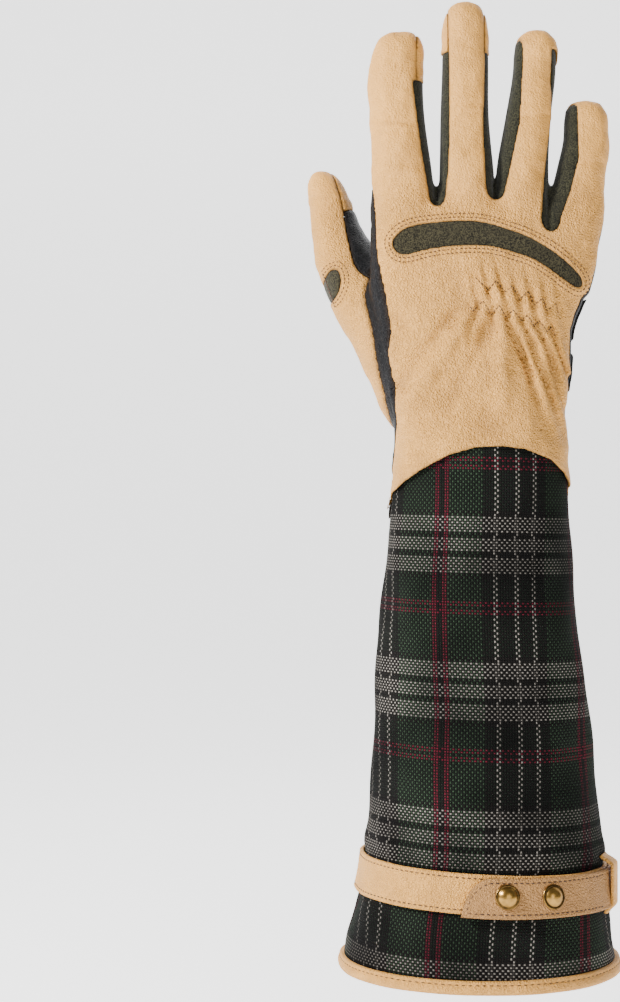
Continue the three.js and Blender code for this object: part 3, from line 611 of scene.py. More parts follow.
# Floor that sweeps up behind the glove
FLOOR = {
    "drop": 40,
    "half_width": 4000,
    "front": -3000,
    "bend_start": 900,
    "bend_radius": 700,
    "bend_points": 14,
    "first_turn": 0.1,
    "top": 4000,
    "colour": (0.9, 0.9, 0.9),
    "roughness": 0.9,
    "specular": 0.1,
    "glow": 1.3,
}

# Lights: name, place, size in metres, power
LIGHTS = [
    ("key", (-900, -420, 760), 0.25, 29.5),
    ("fill", (300, -900, 300), 0.6, 2.5),
    ("back", (150, 620, 700), 0.7, 3.0),
]
LIGHT_AIM = (0, 0, 200)
WORLD_LIGHT = 0.24

# Leather: height where the finger leather turns smooth, how the seams darken, and the limit of the shade
# painted into the hollows of the folds
WRINKLED_BELOW = 0.335
WRINKLED_FADE = 0.04
SEAM_FADE = 0.8
HOLLOW_SHADE_LIMIT = 1.5
SEAM_SHADE = (0.03, 0.016, 0.007)

# Leathers: main and dark colour, roughness, grain depth, specular
LEATHERS = {
    "tan_leather": ((0.82, 0.4, 0.082), (0.2, 0.095, 0.03), 0.55, 0.55, 0.3),
    "lapped_leather": ((0.46, 0.235, 0.08), (0.14, 0.065, 0.025), 0.6, 0.5, 0.2),
    "black_leather": ((0.009, 0.009, 0.01), (0.003, 0.003, 0.003), 0.42, 0.3, 0.09),
}

# Suedes: main, light and dark colour
SUEDES = {
    "black_suede": ((0.007, 0.007, 0.007), (0.013, 0.013, 0.013), (0.004, 0.004, 0.004)),
    "olive_suede": ((0.0145, 0.012, 0.006), (0.056, 0.048, 0.024), (0.003, 0.0025, 0.0013)),
    "green_suede": ((0.009, 0.0085, 0.004), (0.036, 0.034, 0.017), (0.002, 0.002, 0.001)),
}

# Colours of threads, brass, the brass's stains and the shade painted on its rim, and the shade painted
# between the cloth's threads
BROWN_THREAD = (0.07, 0.03, 0.012)
STRAP_THREAD = (0.045, 0.02, 0.008)
BLACK_THREAD = (0.028, 0.028, 0.03)
BRASS = (0.4, 0.225, 0.055)
BRASS_STAIN_AND_SHADE = (0.05, 0.028, 0.009)
CLOTH_GAP_SHADE = (0.003, 0.003, 0.003)
CLOTH_FIBRE = (0.006, 0.006, 0.005)

# Noises of the materials: scale, detail and roughness
NOISES = {
    "mottle": (60, 4, 0.6),
    "speckle": (900, 3, 0.6),
    "wrinkles": (620, 3, 0.6),
    "fine": (2600, 2, 0.5),
    "soft": (190, 3, 0.55),
    "nap": (1700, 4, 0.75),
    "nap_patches": (130, 3, 0.5),
    "nap_bump": (1900, 3, 0.7),
    "nap_swell": (420, 2, 0.5),
    "fibres": (2300, 2, 0.6),
    "cloth_sheen_and_shade": (26, 2, 0.5),
    "stain": (420, 4, 0.65),
    "brass_bump": (900, 3, 0.5),
    "thread_bump": (3000, 1, 0.5),
}
WRINKLE_STRETCH = (1.25, 1, 0.8)

# How strongly each texture shows: levels that a noise has to pass, tints, heights and depths
LEATHER_LOOK = {
    "smooth_share": 0.4,
    "mottle_level": 0.34,
    "mottle": 0.7,
    "speckle_level": 0.45,
    "speckle": 0.55,
    "grain_scale": 900,
    "grain_contrast": 3,
    "furrow_level": 0.5,
    "furrow_contrast": 2.4,
    "grain_tint": 0.12,
    "furrow_tint": 0.16,
    # painted shade: colour darkened in the hollows of the folds and gathers
    "hollow_shade_level": 0.5,
    "hollow_shade": 0.35,
    "hollow_shade_limit": 0.3,
    "seam_tint": 0.6,
    "grain_height": 0.8,
    "wrinkle_height": 1.7,
    "fine_height": 0.3,
    "soft_height": 1.6,
}
SUEDE_LOOK = {
    "roughness": 0.95,
    "sheen": 0.12,
    "specular": 0.15,
    "nap_level": 0.44,
    "nap_contrast": 9,
    "patch_level": 0.34,
    "swell_height": 0.5,
    "depth": 0.28,
}
CLOTH_LOOK = {
    "roughness": 0.9,
    "specular": 0.08,
    "warp_sides": 1.7,
    "warp_ends": 0.85,
    "weft_sides": 1.6,
    "weft_ends": 0.95,
    "white_contrast": 15,
    "white_limit": 0.85,
    "red_contrast": 9,
    "level": 0.5,
    "red_shows": 0.5,
    # painted shade between the threads
    "gap_shade_power": 0.6,
    "fibre_tint": 0.5,
    # patches of painted sheen and fold shade, mixed with uneven tone
    "patch_level": 0.36,
    "sheen_patch_contrast": 3.4,
    "sheen_patch_middle": 0.45,
    "sheen_patch_limits": (0.4, 1.5),
    "fibre_height": 0.25,
    "depth": 0.5,
}
# rim: strength of the shade painted on the snaps' rolled rim
BRASS_LOOK = {"roughness": 0.3, "stain_level": 0.4, "stain": 1.4, "rim": 0.8, "depth": 0.05}
THREAD_LOOK = {"roughness": 0.7, "depth": 0.1}

# Sockets of a colour Mix node for the share and both colours
MIX_SOCKETS = (0, 6, 7)

# Stitches: pitch along the row, length and width of a thread
STITCHES = {
    "knuckle_stitches": (1.75, 1.1, 0.44),
    "shirr_stitches": (1.6, 1.2, 0.46),
    "gather_stitches": (1.6, 1.2, 0.4),
    "thumb_stitches": (1.75, 1.1, 0.4),
    "thenar_stitches": (1.75, 1.2, 0.4),
    "cap_stitches": (1.75, 1.1, 0.4),
    "hem_stitches": (2.6, 1.5, 0.52),
    "strap_stitches": (2.3, 1.5, 0.52),
    "tab_stitches": (2.3, 1.5, 0.52),
}

# Rows of stitches: distances from a seam, or from the strap's middle line
SEAM_ROWS = (1.5, 3.1)
THENAR_SEAM_ROWS = (1.2, 2.6)
STRAP_STITCH_ROWS = (-5.9, 5.9)
STRAP_STITCH_SINK = 0.2
STRAP_STITCH_START = -math.pi * 1.05
HEM_STITCH = {"offset": 1.35, "height": 3.88}
HEM_STITCH_START = -math.pi

# How a stitch is shaped and laid on the surface
STITCH_FULLNESS = 0.6
STITCH_LIFT = 0.1
STITCH_PROBE = 0.3
STITCH_LEAST = 1e-3
SURFACE_STEP = 0.4
SURFACE_PROBE = 0.8

# Points of lines and faces of rings once round the gauntlet
RING_STOPS = 900
ROUND_STEPS = 360


def sample_rows(rows, heights):
    """Every column of a table at the heights, as a smooth curve through the rows."""
    table = np.array(rows, float)
    heights = np.atleast_1d(np.asarray(heights, float))
    level = table[:, 0]
    last = len(level) - 1
    step = np.clip(np.searchsorted(level, heights, side="left") - 1, 0, last - 1)
    before = np.maximum(step - 1, 0)
    after = np.minimum(step + 2, last)
    span = (level[step + 1] - level[step])[:, None]
    share = np.clip((heights[:, None] - level[step][:, None]) / span, 0, 1)
    low, high = table[step], table[step + 1]
    start = (high - table[before]) / (level[step + 1] - level[before])[:, None] * span
    end = (table[after] - low) / (level[after] - level[step])[:, None] * span
    rise = high - low
    curve = low + start * share + (3 * rise - 2 * start - end) * share**2
    curve += (start + end - 2 * rise) * share**3
    curve[:, 0] = heights
    return curve


def smooth_min(a, b, width):
    mix = np.clip(0.5 + 0.5 * (b - a) / width, 0, 1)
    return b + (a - b) * mix - width * mix * (1 - mix)


def smooth_max(a, b, width):
    return -smooth_min(-a, -b, width)


def overlap(*regions):
    """Below zero where every region is."""
    return reduce(np.maximum, regions)


def bell(away, width):
    """1 on a line, fading to nothing at about twice the width from it."""
    return np.exp(-((away / width) ** 2))


def ease(value, low, high):
    share = np.clip((value - low) / (high - low), 0, 1)
    return share * share * (3 - 2 * share)


# Grid of the leather hand
axis_x, axis_y, axis_z = (
    np.arange(low, high, VOXEL, dtype=np.float32) for low, high in zip(GRID_LOW, GRID_HIGH)
)
X = axis_x[:, None, None]
Y = axis_y[None, :, None]
Z = axis_z[None, None, :]
FLAT_X, FLAT_Z = np.meshgrid(axis_x, axis_z, indexing="ij")


def section_gauge(rows, power):
    """1 on the skin of a form given by horizontal sections, less inside and more outside."""
    columns = sample_rows(rows, axis_z).astype(np.float32)
    across = np.abs((axis_x[:, None] - columns[:, 1]) / columns[:, 3]) ** power
    along = np.abs((axis_y[:, None] - columns[:, 2]) / columns[:, 4]) ** power
    return (across[:, None, :] + along[None, :, :]) ** (1 / power)


def distance(gauge):
    slopes = np.gradient(gauge, VOXEL)
    steepness = np.sqrt(slopes[0] ** 2 + slopes[1] ** 2 + slopes[2] ** 2)
    return ((gauge - 1) / np.maximum(steepness, 1 / FAR)).astype(np.float32)


def digit_field(digit, bottom_round):
    gauge = section_gauge(digit["rows"], FINGER_POWER)
    rise = np.clip((Z - (digit["top"] - digit["dome"])) / digit["dome"], 0, None)
    gauge = (gauge**DOME_POWER + rise**DOME_POWER) ** (1 / DOME_POWER)
    bottom = digit["rows"][0][0]
    return smooth_max(distance(gauge), bottom - Z, bottom_round)


def segment_distance(x, z, start, end):
    """Distance from points to a line, and the share of the way along it."""
    along = np.array(end, float) - np.array(start, float)
    length_squared = max(float(along @ along), SHORTEST)
    share = np.clip(((x - start[0]) * along[0] + (z - start[1]) * along[1]) / length_squared, 0, 1)
    return np.hypot(x - start[0] - share * along[0], z - start[1] - share * along[1]), share


def line_distance(points, x=FLAT_X, z=FLAT_Z):
    pairs = zip(points, points[1:])
    return np.minimum.reduce([segment_distance(x, z, a, b)[0] for a, b in pairs])


def outline_distance(points, x=FLAT_X, z=FLAT_Z):
    """Distance to a closed outline in x and z, below zero inside it."""
    nearest = np.full(x.shape, np.inf)
    inside = np.zeros(x.shape, bool)
    for (ax, az), (bx, bz) in zip(points, points[1:] + points[:1]):
        nearest = np.minimum(nearest, segment_distance(x, z, (ax, az), (bx, bz))[0])
        crosses = (az > z) != (bz > z)
        if az != bz:
            inside ^= crosses & (x < (bx - ax) * (z - az) / (bz - az) + ax)
    return np.where(inside, -nearest, nearest).astype(np.float32)


def rounded(points, steps=4):
    """Closed outline through the points as a smooth curve."""
    table = np.array(points, float)
    before, after, beyond = np.roll(table, 1, 0), np.roll(table, -1, 0), np.roll(table, -2, 0)
    smooth = []
    for share in np.arange(steps) / steps:
        smooth.append(
            table
            + 0.5 * share * (after - before)
            + share**2 * (before - 2.5 * table + 2 * after - 0.5 * beyond)
            + share**3 * (-0.5 * before + 1.5 * table - 1.5 * after + 0.5 * beyond)
        )
    return [tuple(point) for point in np.stack(smooth, 1).reshape(-1, 2)]


def uneven(seed, low, high, amount):
    """Soft random unevenness over x and z, with waves between two lengths."""
    random = np.random.default_rng(seed)
    total = np.zeros(FLAT_X.shape)
    for _ in range(UNEVEN_WAVES):
        turn = random.uniform(0, 2 * math.pi)
        number = 2 * math.pi / random.uniform(low, high)
        start = random.uniform(0, 2 * math.pi)
        total += np.sin(number * (FLAT_X * math.cos(turn) + FLAT_Z * math.sin(turn)) + start)
    return amount * total / math.sqrt(UNEVEN_WAVES)


def fold_heights(folds):
    total = np.zeros(FLAT_X.shape)
    for ax, az, bx, bz, width, height in folds:
        away, share = segment_distance(FLAT_X, FLAT_Z, (ax, az), (bx, bz))
        fullness = np.sqrt(np.abs(np.sin(math.pi * share)))
        total += height * bell(away, width) * (FOLD_ENDS + (1 - FOLD_ENDS) * fullness)
    return total


def puffs(phase):
    """Rounded folds between creases at the whole numbers of the phase, about zero on average."""
    return (np.sin(math.pi * phase) ** 2 + PUFF_CREASE) ** PUFF_POWER - PUFF_MEAN


def lip_height(away, seam):
    height, width = LIPS[seam]
    return height * bell(away, width)


def shirring():
    """Gathers of the back: puffs between two stitched rows, fanning out below them."""
    row = SHIRR["row_height"] + SHIRR["row_slope"] * FLAT_X
    below = np.clip(row - SHIRR["between"] - FLAT_Z, 0, None)
    spread = SHIRR["spread"]
    root_x = (FLAT_X + spread * SHIRR["middle"] * below) / (1 + spread * below)
    left_lean = spread * (SHIRR["fan_left"] - SHIRR["middle"])
    right_lean = spread * (SHIRR["fan_right"] - SHIRR["middle"])
    root_x = np.where(root_x < SHIRR["fan_left"], FLAT_X - left_lean * below, root_x)
    root_x = np.where(root_x > SHIRR["fan_right"], FLAT_X - right_lean * below, root_x)
    above = np.maximum(FLAT_Z - row, -SHIRR["between"])
    phase = (root_x - SHIRR["first"] + SHIRR["lean"] * above) / SHIRR["pitch"]
    sway = np.sin(SHIRR["sway_up"] * FLAT_Z + SHIRR["sway_across"] * FLAT_X)
    phase += SHIRR["sway"] * sway * ease(below, 0, SHIRR["sway_from"])
    side_fade = SHIRR["side_fade"]
    sides = ease(root_x, SHIRR["left"] - side_fade, SHIRR["left"] + side_fade)
    sides *= 1 - ease(root_x, SHIRR["right"] - side_fade, SHIRR["right"] + side_fade)
    reach = np.clip(SHIRR["reach"] + SHIRR["reach_slope"] * root_x, *SHIRR["reach_limits"])
    fade_down = np.exp(-((below / reach) ** SHIRR["fade_power"]))
    near, middle, far = SHIRR["above"]
    fade_up = 1 - SHIRR["fade_above"] * ease(FLAT_Z - row, near, middle)
    fade_up *= 1 - ease(FLAT_Z - row, middle, far)
    in_rows = ease(FLAT_Z - row, -SHIRR["between"] - SHIRR["row_fade"], -SHIRR["between"])
    folds = SHIRR["puff"] * puffs(phase) * sides * fade_down * fade_up
    folds *= 1 - SHIRR["calm_rows"] * in_rows
    fine = SHIRR["fine_puff"] * puffs(2 * phase + SHIRR["fine_shift"])
    fine *= sides * ease(FLAT_Z - row, *SHIRR["fine_heights"]) * fade_up
    for line in (SHIRR_UPPER, SHIRR_LOWER):
        folds -= SHIRR["pinch"] * bell(line_distance(line), SHIRR["pinch_width"])
    return folds + fine


def zigzag(row):
    """Points of a zigzag seam across the palm side of the wrist."""
    count = 2 * row["count"]
    places = np.linspace(GATHER["left"], GATHER["right"], count + 1)
    return [(x, row["height"] + row["swing"] * (-1) ** step) for step, x in enumerate(places)]


def gathers():
    """Gathers of the palm side: folds held down by two zigzag seams."""
    heights, shares = np.array(GATHER_ROWS).T
    share = np.interp(FLAT_Z, heights, shares)
    width = GATHER["right"] - GATHER["left"]
    sway = GATHER["sway"] * np.sin(FLAT_X * GATHER["sway_across"] + FLAT_Z * GATHER["sway_up"])
    phase = GATHER["folds"] * (FLAT_X - GATHER["left"]) / width + sway
    folds = GATHER["puff"] * share * puffs(phase)
    for row in ZIGZAGS:
        folds -= GATHER["pinch"] * bell(line_distance(zigzag(row)), GATHER["pinch_width"])
    return folds


def gusset_outline(gusset, side):
    """Outline of a gusset from the back (side 0) or the palm (side 1)."""
    left = [(row[1 + 2 * side], row[0]) for row in gusset["rows"]]
    right = [(row[2 + 2 * side], row[0]) for row in gusset["rows"]]
    middle = (left[-1][0] + right[-1][0]) / 2
    floor = gusset["floors"][side]
    (left_x, level), (right_x, _) = left[0], right[0]
    turns = np.linspace(math.pi, 2 * math.pi, GUSSET_ARC_POINTS)[1:-1]
    arc = [
        (
            (left_x + right_x) / 2 + (right_x - left_x) / 2 * math.cos(turn),
            level + (level - floor) * math.sin(turn),
        )
        for turn in turns
    ]
    tops = [
        (right[-1][0], gusset["right_top"]),
        (middle, gusset["right_top"]),
        (middle, gusset["left_top"]),
        (left[-1][0], gusset["left_top"]),
    ]
    return [*arc, *right, *tops, *reversed(left)]


def gusset_region(gusset):
    back = outline_distance(gusset_outline(gusset, 0))[:, None, :]
    palm = outline_distance(gusset_outline(gusset, 1))[:, None, :]
    share = ease(Y, GUSSET_SPLIT_Y - GUSSET_BLEND, GUSSET_SPLIT_Y + GUSSET_BLEND)
    return (back + (palm - back) * share).astype(np.float32)


def gusset_crease(gusset):
    """Fold where the two walls of a gusset meet below the gap between the fingers."""
    middle, top = gusset["crease"]
    fade = GUSSET_CREASE["fade"]
    along = (1 - ease(Z, top - fade, top + fade)) * (1 - ease(Y, GUSSET_CREASE["front"], 0))
    return GUSSET_CREASE["depth"] * bell(X - middle, GUSSET_CREASE["width"]) * along


def cap_region(cap, side):
    """Below zero on the tip of a finger, without the strip of back leather that runs up it."""
    strip = np.maximum(np.maximum(cap["seam_left"] - X, X - cap["seam_right"]), side)
    tip = np.maximum(np.maximum(cap["left"] - X, X - cap["right"]), cap["height"] - Z)
    return np.maximum(tip, -strip)


def thumb_seam():
    rows = sample_rows(THUMB_SEAM_ROWS, axis_z).astype(np.float32)
    lean = (rows[:, 3] - rows[:, 1]) / (rows[:, 4] - rows[:, 2])
    seam_x = rows[:, 1] + (Y - rows[:, 2]) * lean
    return (X - seam_x) / np.sqrt(1 + lean**2)


def thumb_patch_region():
    rise = FLAT_Z - THUMB_PATCH["z"]
    across = FLAT_X - THUMB_PATCH["x"] + THUMB_PATCH["lean"] * rise
    gauge = np.hypot(across / THUMB_PATCH["width"], rise / THUMB_PATCH["height"])
    flat = (gauge - 1) * THUMB_PATCH["width"]
    return np.maximum(flat[:, None, :], Y - THUMB_PATCH["deepest"])


def leather_edge():
    """Below zero above the lower edge of the leather."""
    places, heights = np.array(ARCH_POINTS).T
    arch = np.interp(axis_x, places, heights)[:, None, None]
    share = ease(Y, ARCH_SPLIT_Y - ARCH_BLEND, ARCH_SPLIT_Y + ARCH_BLEND)
    return (arch + (PALM_EDGE - arch) * share - Z).astype(np.float32)


def depth_map(field, from_palm=False):
    """Depth of the surface behind every x and z, from the back or from the palm."""
    block = field[:, ::-1, :] if from_palm else field
    inside = block < 0
    first = np.clip(inside.argmax(axis=1), 1, None)
    columns = np.ogrid[: block.shape[0], : block.shape[2]]
    outer = block[columns[0], first - 1, columns[1]]
    inner = block[columns[0], first, columns[1]]
    place = (first - 1 + outer / np.where(outer == inner, 1, outer - inner)) * VOXEL
    depth = axis_y[-1] - place if from_palm else axis_y[0] + place
    return np.where(inside.any(axis=1), depth, np.nan)


def look_up(depths, points):
    """Depths at points of x and z between the places of a map."""
    place_x = np.clip((points[:, 0] - axis_x[0]) / VOXEL, 0, len(axis_x) - LAST_CELL)
    place_z = np.clip((points[:, 1] - axis_z[0]) / VOXEL, 0, len(axis_z) - LAST_CELL)
    i, k = place_x.astype(int), place_z.astype(int)
    a, b = place_x - i, place_z - k
    low = depths[i, k] * (1 - a) + depths[i + 1, k] * a
    high = depths[i, k + 1] * (1 - a) + depths[i + 1, k + 1] * a
    return low * (1 - b) + high * b


def new_mesh(name, points, faces, smooth=True):
    """Object from points in millimetres and faces of the same number of corners."""
    faces = np.asarray(faces, np.int32)
    mesh = bpy.data.meshes.new(name)
    mesh.vertices.add(len(points))
    mesh.vertices.foreach_set("co", (np.asarray(points, np.float32) * MM).ravel())
    mesh.loops.add(faces.size)
    mesh.loops.foreach_set("vertex_index", faces.ravel())
    mesh.polygons.add(len(faces))
    mesh.polygons.foreach_set("loop_start", np.arange(len(faces), dtype=np.int32) * faces.shape[1])
    mesh.polygons.foreach_set("use_smooth", np.full(len(faces), smooth))
    mesh.update(calc_edges=True)
    mesh.validate()
    obj = bpy.data.objects.new(name, mesh)
    bpy.context.scene.collection.objects.link(obj)
    return obj


def surface_net(field, corner):
    """Points and quads of the surface where a field crosses zero."""
    inside = field < 0
    shape = tuple(count - 1 for count in field.shape)
    corners = list(product((0, 1), repeat=3))
    parts = [tuple(slice(o, o + n) for o, n in zip(offset, shape)) for offset in corners]
    total = sum(inside[part].astype(np.int8) for part in parts)
    active = (total > 0) & (total < 8)
    number = np.full(shape, -1, np.int32)
    number[active] = np.arange(active.sum())
    cells = np.argwhere(active)
    values = {offset: field[part][active] for offset, part in zip(corners, parts)}
    sums = np.zeros((len(cells), 3))
    hits = np.zeros(len(cells))
    for a, b in product(corners, corners):
        if sum(b) - sum(a) != 1 or any(q < p for p, q in zip(a, b)):
            continue
        crossing = (values[a] < 0) != (values[b] < 0)
        share = values[a] / np.where(crossing, values[a] - values[b], 1)
        place = np.array(a) + share[:, None] * (np.array(b) - np.array(a))
        sums += np.where(crossing[:, None], place, 0)
        hits += crossing
    points = corner + (cells + sums / hits[:, None]) * VOXEL
    quads = []
    for axis in range(3):
        others = [other for other in range(3) if other != axis]
        low = [slice(1, -1)] * 3
        low[axis] = slice(0, -1)
        high = list(low)
        high[axis] = slice(1, None)
        here, beyond = inside[tuple(low)], inside[tuple(high)]
        for starts_inside in (True, False):
            spots = np.argwhere((here != beyond) & (here == starts_inside))
            base = spots + [0 if other == axis else 1 for other in range(3)]
            ring = []
            for p, q in ((-1, -1), (0, -1), (0, 0), (-1, 0)):
                cell = base.copy()
                cell[:, others[0]] += p
                cell[:, others[1]] += q
                ring.append(number[cell[:, 0], cell[:, 1], cell[:, 2]])
            flip = starts_inside == (axis == 1)
            quads.append(np.stack(ring[::-1] if flip else ring, 1))
    return points, np.concatenate(quads)


def relaxed(points, quads, share):
    """Points moved by a share of the way to the middle of their neighbours."""
    total = np.zeros_like(points)
    count = np.zeros(len(points))
    for corner in range(4):
        a, b = quads[:, corner], quads[:, (corner + 1) % 4]
        for start, end in ((a, b), (b, a)):
            for axis in range(3):
                total[:, axis] += np.bincount(start, points[end, axis], len(points))
            count += np.bincount(start, minlength=len(points))
    return points + share * (total / np.maximum(count, 1)[:, None] - points)


def largest_body(points, quads):
    """The largest connected part of a mesh, without stray specks."""
    label = np.arange(len(points))
    while True:
        lowest = label[quads].min(axis=1)
        before = label.copy()
        for corner in range(4):
            np.minimum.at(label, quads[:, corner], lowest)
        label = label[label]
        if np.array_equal(before, label):
            break
    keep = label == np.bincount(label).argmax()
    number = np.cumsum(keep) - 1
    kept = quads[keep[quads[:, 0]]]
    return points[keep], number[kept]


def store(obj, name, values):
    attribute = obj.data.attributes.new(name, "FLOAT", "POINT")
    attribute.data.foreach_set("value", np.asarray(values, np.float32))


def values_at(field, points):
    """Values of a field at points between the places of its grid."""
    places = (points - [axis_x[0], axis_y[0], axis_z[0]]) / VOXEL
    places = np.clip(places, 0, np.array(field.shape) - LAST_CELL)
    base = places.astype(int)
    share = places - base
    total = np.zeros(len(points))
    for corner in product((0, 1), repeat=3):
        weight = np.where(corner, share, 1 - share).prod(axis=1)
        i, j, k = (base + corner).T
        total += weight * field[i, j, k]
    return total


def finish_piece(obj, material, slot, *nodes):
    obj.data.materials.append(material)
    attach(obj, "root")
    if nodes:
        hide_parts(*nodes)
    return obj


def leather_piece(name, node, outside, region, material, slot, thickness=LEATHER):
    """One panel: a layer of leather under its outside, cut to its region."""
    wall = smooth_max(outside, -outside - thickness, WALL_ROUND)
    field = smooth_max(wall, region - SEAM_OVERLAP, SEAM_ROUND)
    used = np.argwhere(field < 2 * VOXEL)
    low = np.maximum(used.min(0) - 2, 0)
    high = used.max(0) + 3
    block = field[low[0] : high[0], low[1] : high[1], low[2] : high[2]]
    corner = np.array([axis_x[low[0]], axis_y[low[1]], axis_z[low[2]]])
    points, quads = largest_body(*surface_net(block, corner))
    for share in SMOOTHING:
        points = relaxed(points, quads, share)
    obj = new_mesh(name, points, quads)
    store(obj, "seam", np.exp(np.minimum(values_at(region, points), 0) / SEAM_FADE))
    # Depth of the hollows in the relief, where shade is painted into the colour
    store(obj, "hollow_shade", np.clip(-values_at(relief, points), 0, HOLLOW_SHADE_LIMIT))
    return finish_piece(obj, material, slot, node)


class Shade:
    """A number in a shader, so that sums and products of nodes read as formulas."""

    def __init__(self, tree, socket):
        self.tree = tree
        self.socket = socket

    def make(self, operation, *others):
        node = self.tree.nodes.new("ShaderNodeMath")
        node.operation = operation
        for place, value in enumerate((self, *others)):
            if isinstance(value, Shade):
                self.tree.links.new(value.socket, node.inputs[place])
            else:
                node.inputs[place].default_value = value
        return Shade(self.tree, node.outputs[0])

    def __add__(self, other):
        return self.make("ADD", other)

    def __sub__(self, other):
        return self.make("SUBTRACT", other)

    def __mul__(self, other):
        return self.make("MULTIPLY", other)

    def __truediv__(self, other):
        return self.make("DIVIDE", other)

    def floor(self):
        return self.make("FLOOR")

    def fraction(self):
        return self.make("FRACT")

    def power(self, exponent):
        return self.make("POWER", exponent)

    def clamped(self, low=0.0, high=1.0):
        return self.make("MAXIMUM", low).make("MINIMUM", high)


def new_material(name, colour, roughness, metallic=0.0, sheen=0.0, specular=0.5):
    material = bpy.data.materials.new(name)
    material.use_nodes = True
    shader = material.node_tree.nodes["Principled BSDF"]
    shader.inputs["Base Color"].default_value = (*colour, 1)
    shader.inputs["Roughness"].default_value = roughness
    shader.inputs["Metallic"].default_value = metallic
    shader.inputs["Sheen Weight"].default_value = sheen
    shader.inputs["Specular IOR Level"].default_value = specular
    return material, material.node_tree, shader


def place_socket(tree, stretch=(1, 1, 1)):
    """Place on the object, with a scale along each axis."""
    place = tree.nodes.new("ShaderNodeTexCoord").outputs["Object"]
    node = tree.nodes.new("ShaderNodeVectorMath")
    node.operation = "MULTIPLY"
    node.inputs[1].default_value = stretch
    tree.links.new(place, node.inputs[0])
    return node.outputs[0]


def place_part(tree, axis):
    """Distance along one axis of the object, in metres."""
    node = tree.nodes.new("ShaderNodeSeparateXYZ")
    tree.links.new(place_socket(tree), node.inputs["Vector"])
    return Shade(tree, node.outputs[axis])


def noise(tree, name, stretch=(1, 1, 1)):
    scale, detail, roughness = NOISES[name]
    node = tree.nodes.new("ShaderNodeTexNoise")
    node.inputs["Scale"].default_value = scale
    node.inputs["Detail"].default_value = detail
    node.inputs["Roughness"].default_value = roughness
    tree.links.new(place_socket(tree, stretch), node.inputs["Vector"])
    return Shade(tree, node.outputs["Fac"])


def cells(tree, scale):
    """Distance to the edges of small cells, as leather grain has."""
    node = tree.nodes.new("ShaderNodeTexVoronoi")
    node.feature = "DISTANCE_TO_EDGE"
    node.inputs["Scale"].default_value = scale
    tree.links.new(place_socket(tree), node.inputs["Vector"])
    return Shade(tree, node.outputs["Distance"])


def attribute(tree, name):
    node = tree.nodes.new("ShaderNodeAttribute")
    node.attribute_name = name
    return Shade(tree, node.outputs["Fac"])


def mixed(tree, share, first, second, blend="MIX"):
    """Colour between two colours, which are sockets or numbers."""
    node = tree.nodes.new("ShaderNodeMix")
    node.data_type = "RGBA"
    node.blend_type = blend
    for number, value in zip(MIX_SOCKETS, (share, first, second)):
        place = node.inputs[number]
        if isinstance(value, Shade):
            tree.links.new(value.socket, place)
        elif isinstance(value, bpy.types.NodeSocket):
            tree.links.new(value, place)
        elif isinstance(value, (int, float)):
            place.default_value = value
        else:
            place.default_value = (*value, 1)
    return node.outputs[2]


def bump(tree, shader, height, depth, strength=1.0):
    node = tree.nodes.new("ShaderNodeBump")
    node.inputs["Strength"].default_value = strength
    node.inputs["Distance"].default_value = depth * MM
    tree.links.new(height.socket, node.inputs["Height"])
    tree.links.new(node.outputs["Normal"], shader.inputs["Normal"])


def leather_material(name, colour, dark, roughness, grain_depth, specular):
    """Grained leather: smooth fingers, a wrinkled hand, dark furrows and seam edges, and shade painted into
    the hollows of the folds.
    """
    material, tree, shader = new_material(name, colour, roughness, specular=specular)
    height = place_part(tree, "Z")
    look = LEATHER_LOOK
    hand_share = ((height * -1 + WRINKLED_BELOW) / WRINKLED_FADE).clamped(look["smooth_share"], 1)
    mottle = (noise(tree, "mottle") - look["mottle_level"]).clamped() * look["mottle"]
    base = mixed(tree, mottle, colour, dark)
    speckle = (noise(tree, "speckle") - look["speckle_level"]).clamped() * look["speckle"]
    base = mixed(tree, speckle, base, dark)
    grain = (cells(tree, look["grain_scale"]) * look["grain_contrast"]).clamped()
    wrinkles = noise(tree, "wrinkles", WRINKLE_STRETCH)
    furrows = ((wrinkles * -1 + look["furrow_level"]) * look["furrow_contrast"]).clamped() * hand_share
    grain_tint = (grain * -1 + 1) * hand_share * look["grain_tint"]
    base = mixed(tree, grain_tint + furrows * look["furrow_tint"], base, dark)
    # Painted shade: the colour darkens in the hollows of the folds and gathers
    hollow_shade = (attribute(tree, "hollow_shade") - look["hollow_shade_level"]) * look["hollow_shade"]
    base = mixed(tree, hollow_shade.clamped(0, look["hollow_shade_limit"]), base, dark)
    edge = attribute(tree, "seam").power(2) * look["seam_tint"]
    base = mixed(tree, edge, base, SEAM_SHADE)
    tree.links.new(base, shader.inputs["Base Color"])
    coarse = (grain * look["grain_height"] + wrinkles * look["wrinkle_height"]) * hand_share
    fine = noise(tree, "fine") * look["fine_height"]
    soft = noise(tree, "soft") * look["soft_height"]
    bump(tree, shader, coarse + fine + soft, grain_depth)
    return material


def suede_material(name, colour, light, dark):
    """Suede with speckled short nap."""
    look = SUEDE_LOOK
    material, tree, shader = new_material(
        name, colour, look["roughness"], sheen=look["sheen"], specular=look["specular"]
    )
    speckle = ((noise(tree, "nap") - look["nap_level"]) * look["nap_contrast"]).clamped()
    patches = (noise(tree, "nap_patches") - look["patch_level"]).clamped()
    base = mixed(tree, speckle, dark, light)
    base = mixed(tree, patches, base, colour)
    tree.links.new(base, shader.inputs["Base Color"])
    height = noise(tree, "nap_bump") + noise(tree, "nap_swell") * look["swell_height"]
    bump(tree, shader, height, look["depth"])
    return material


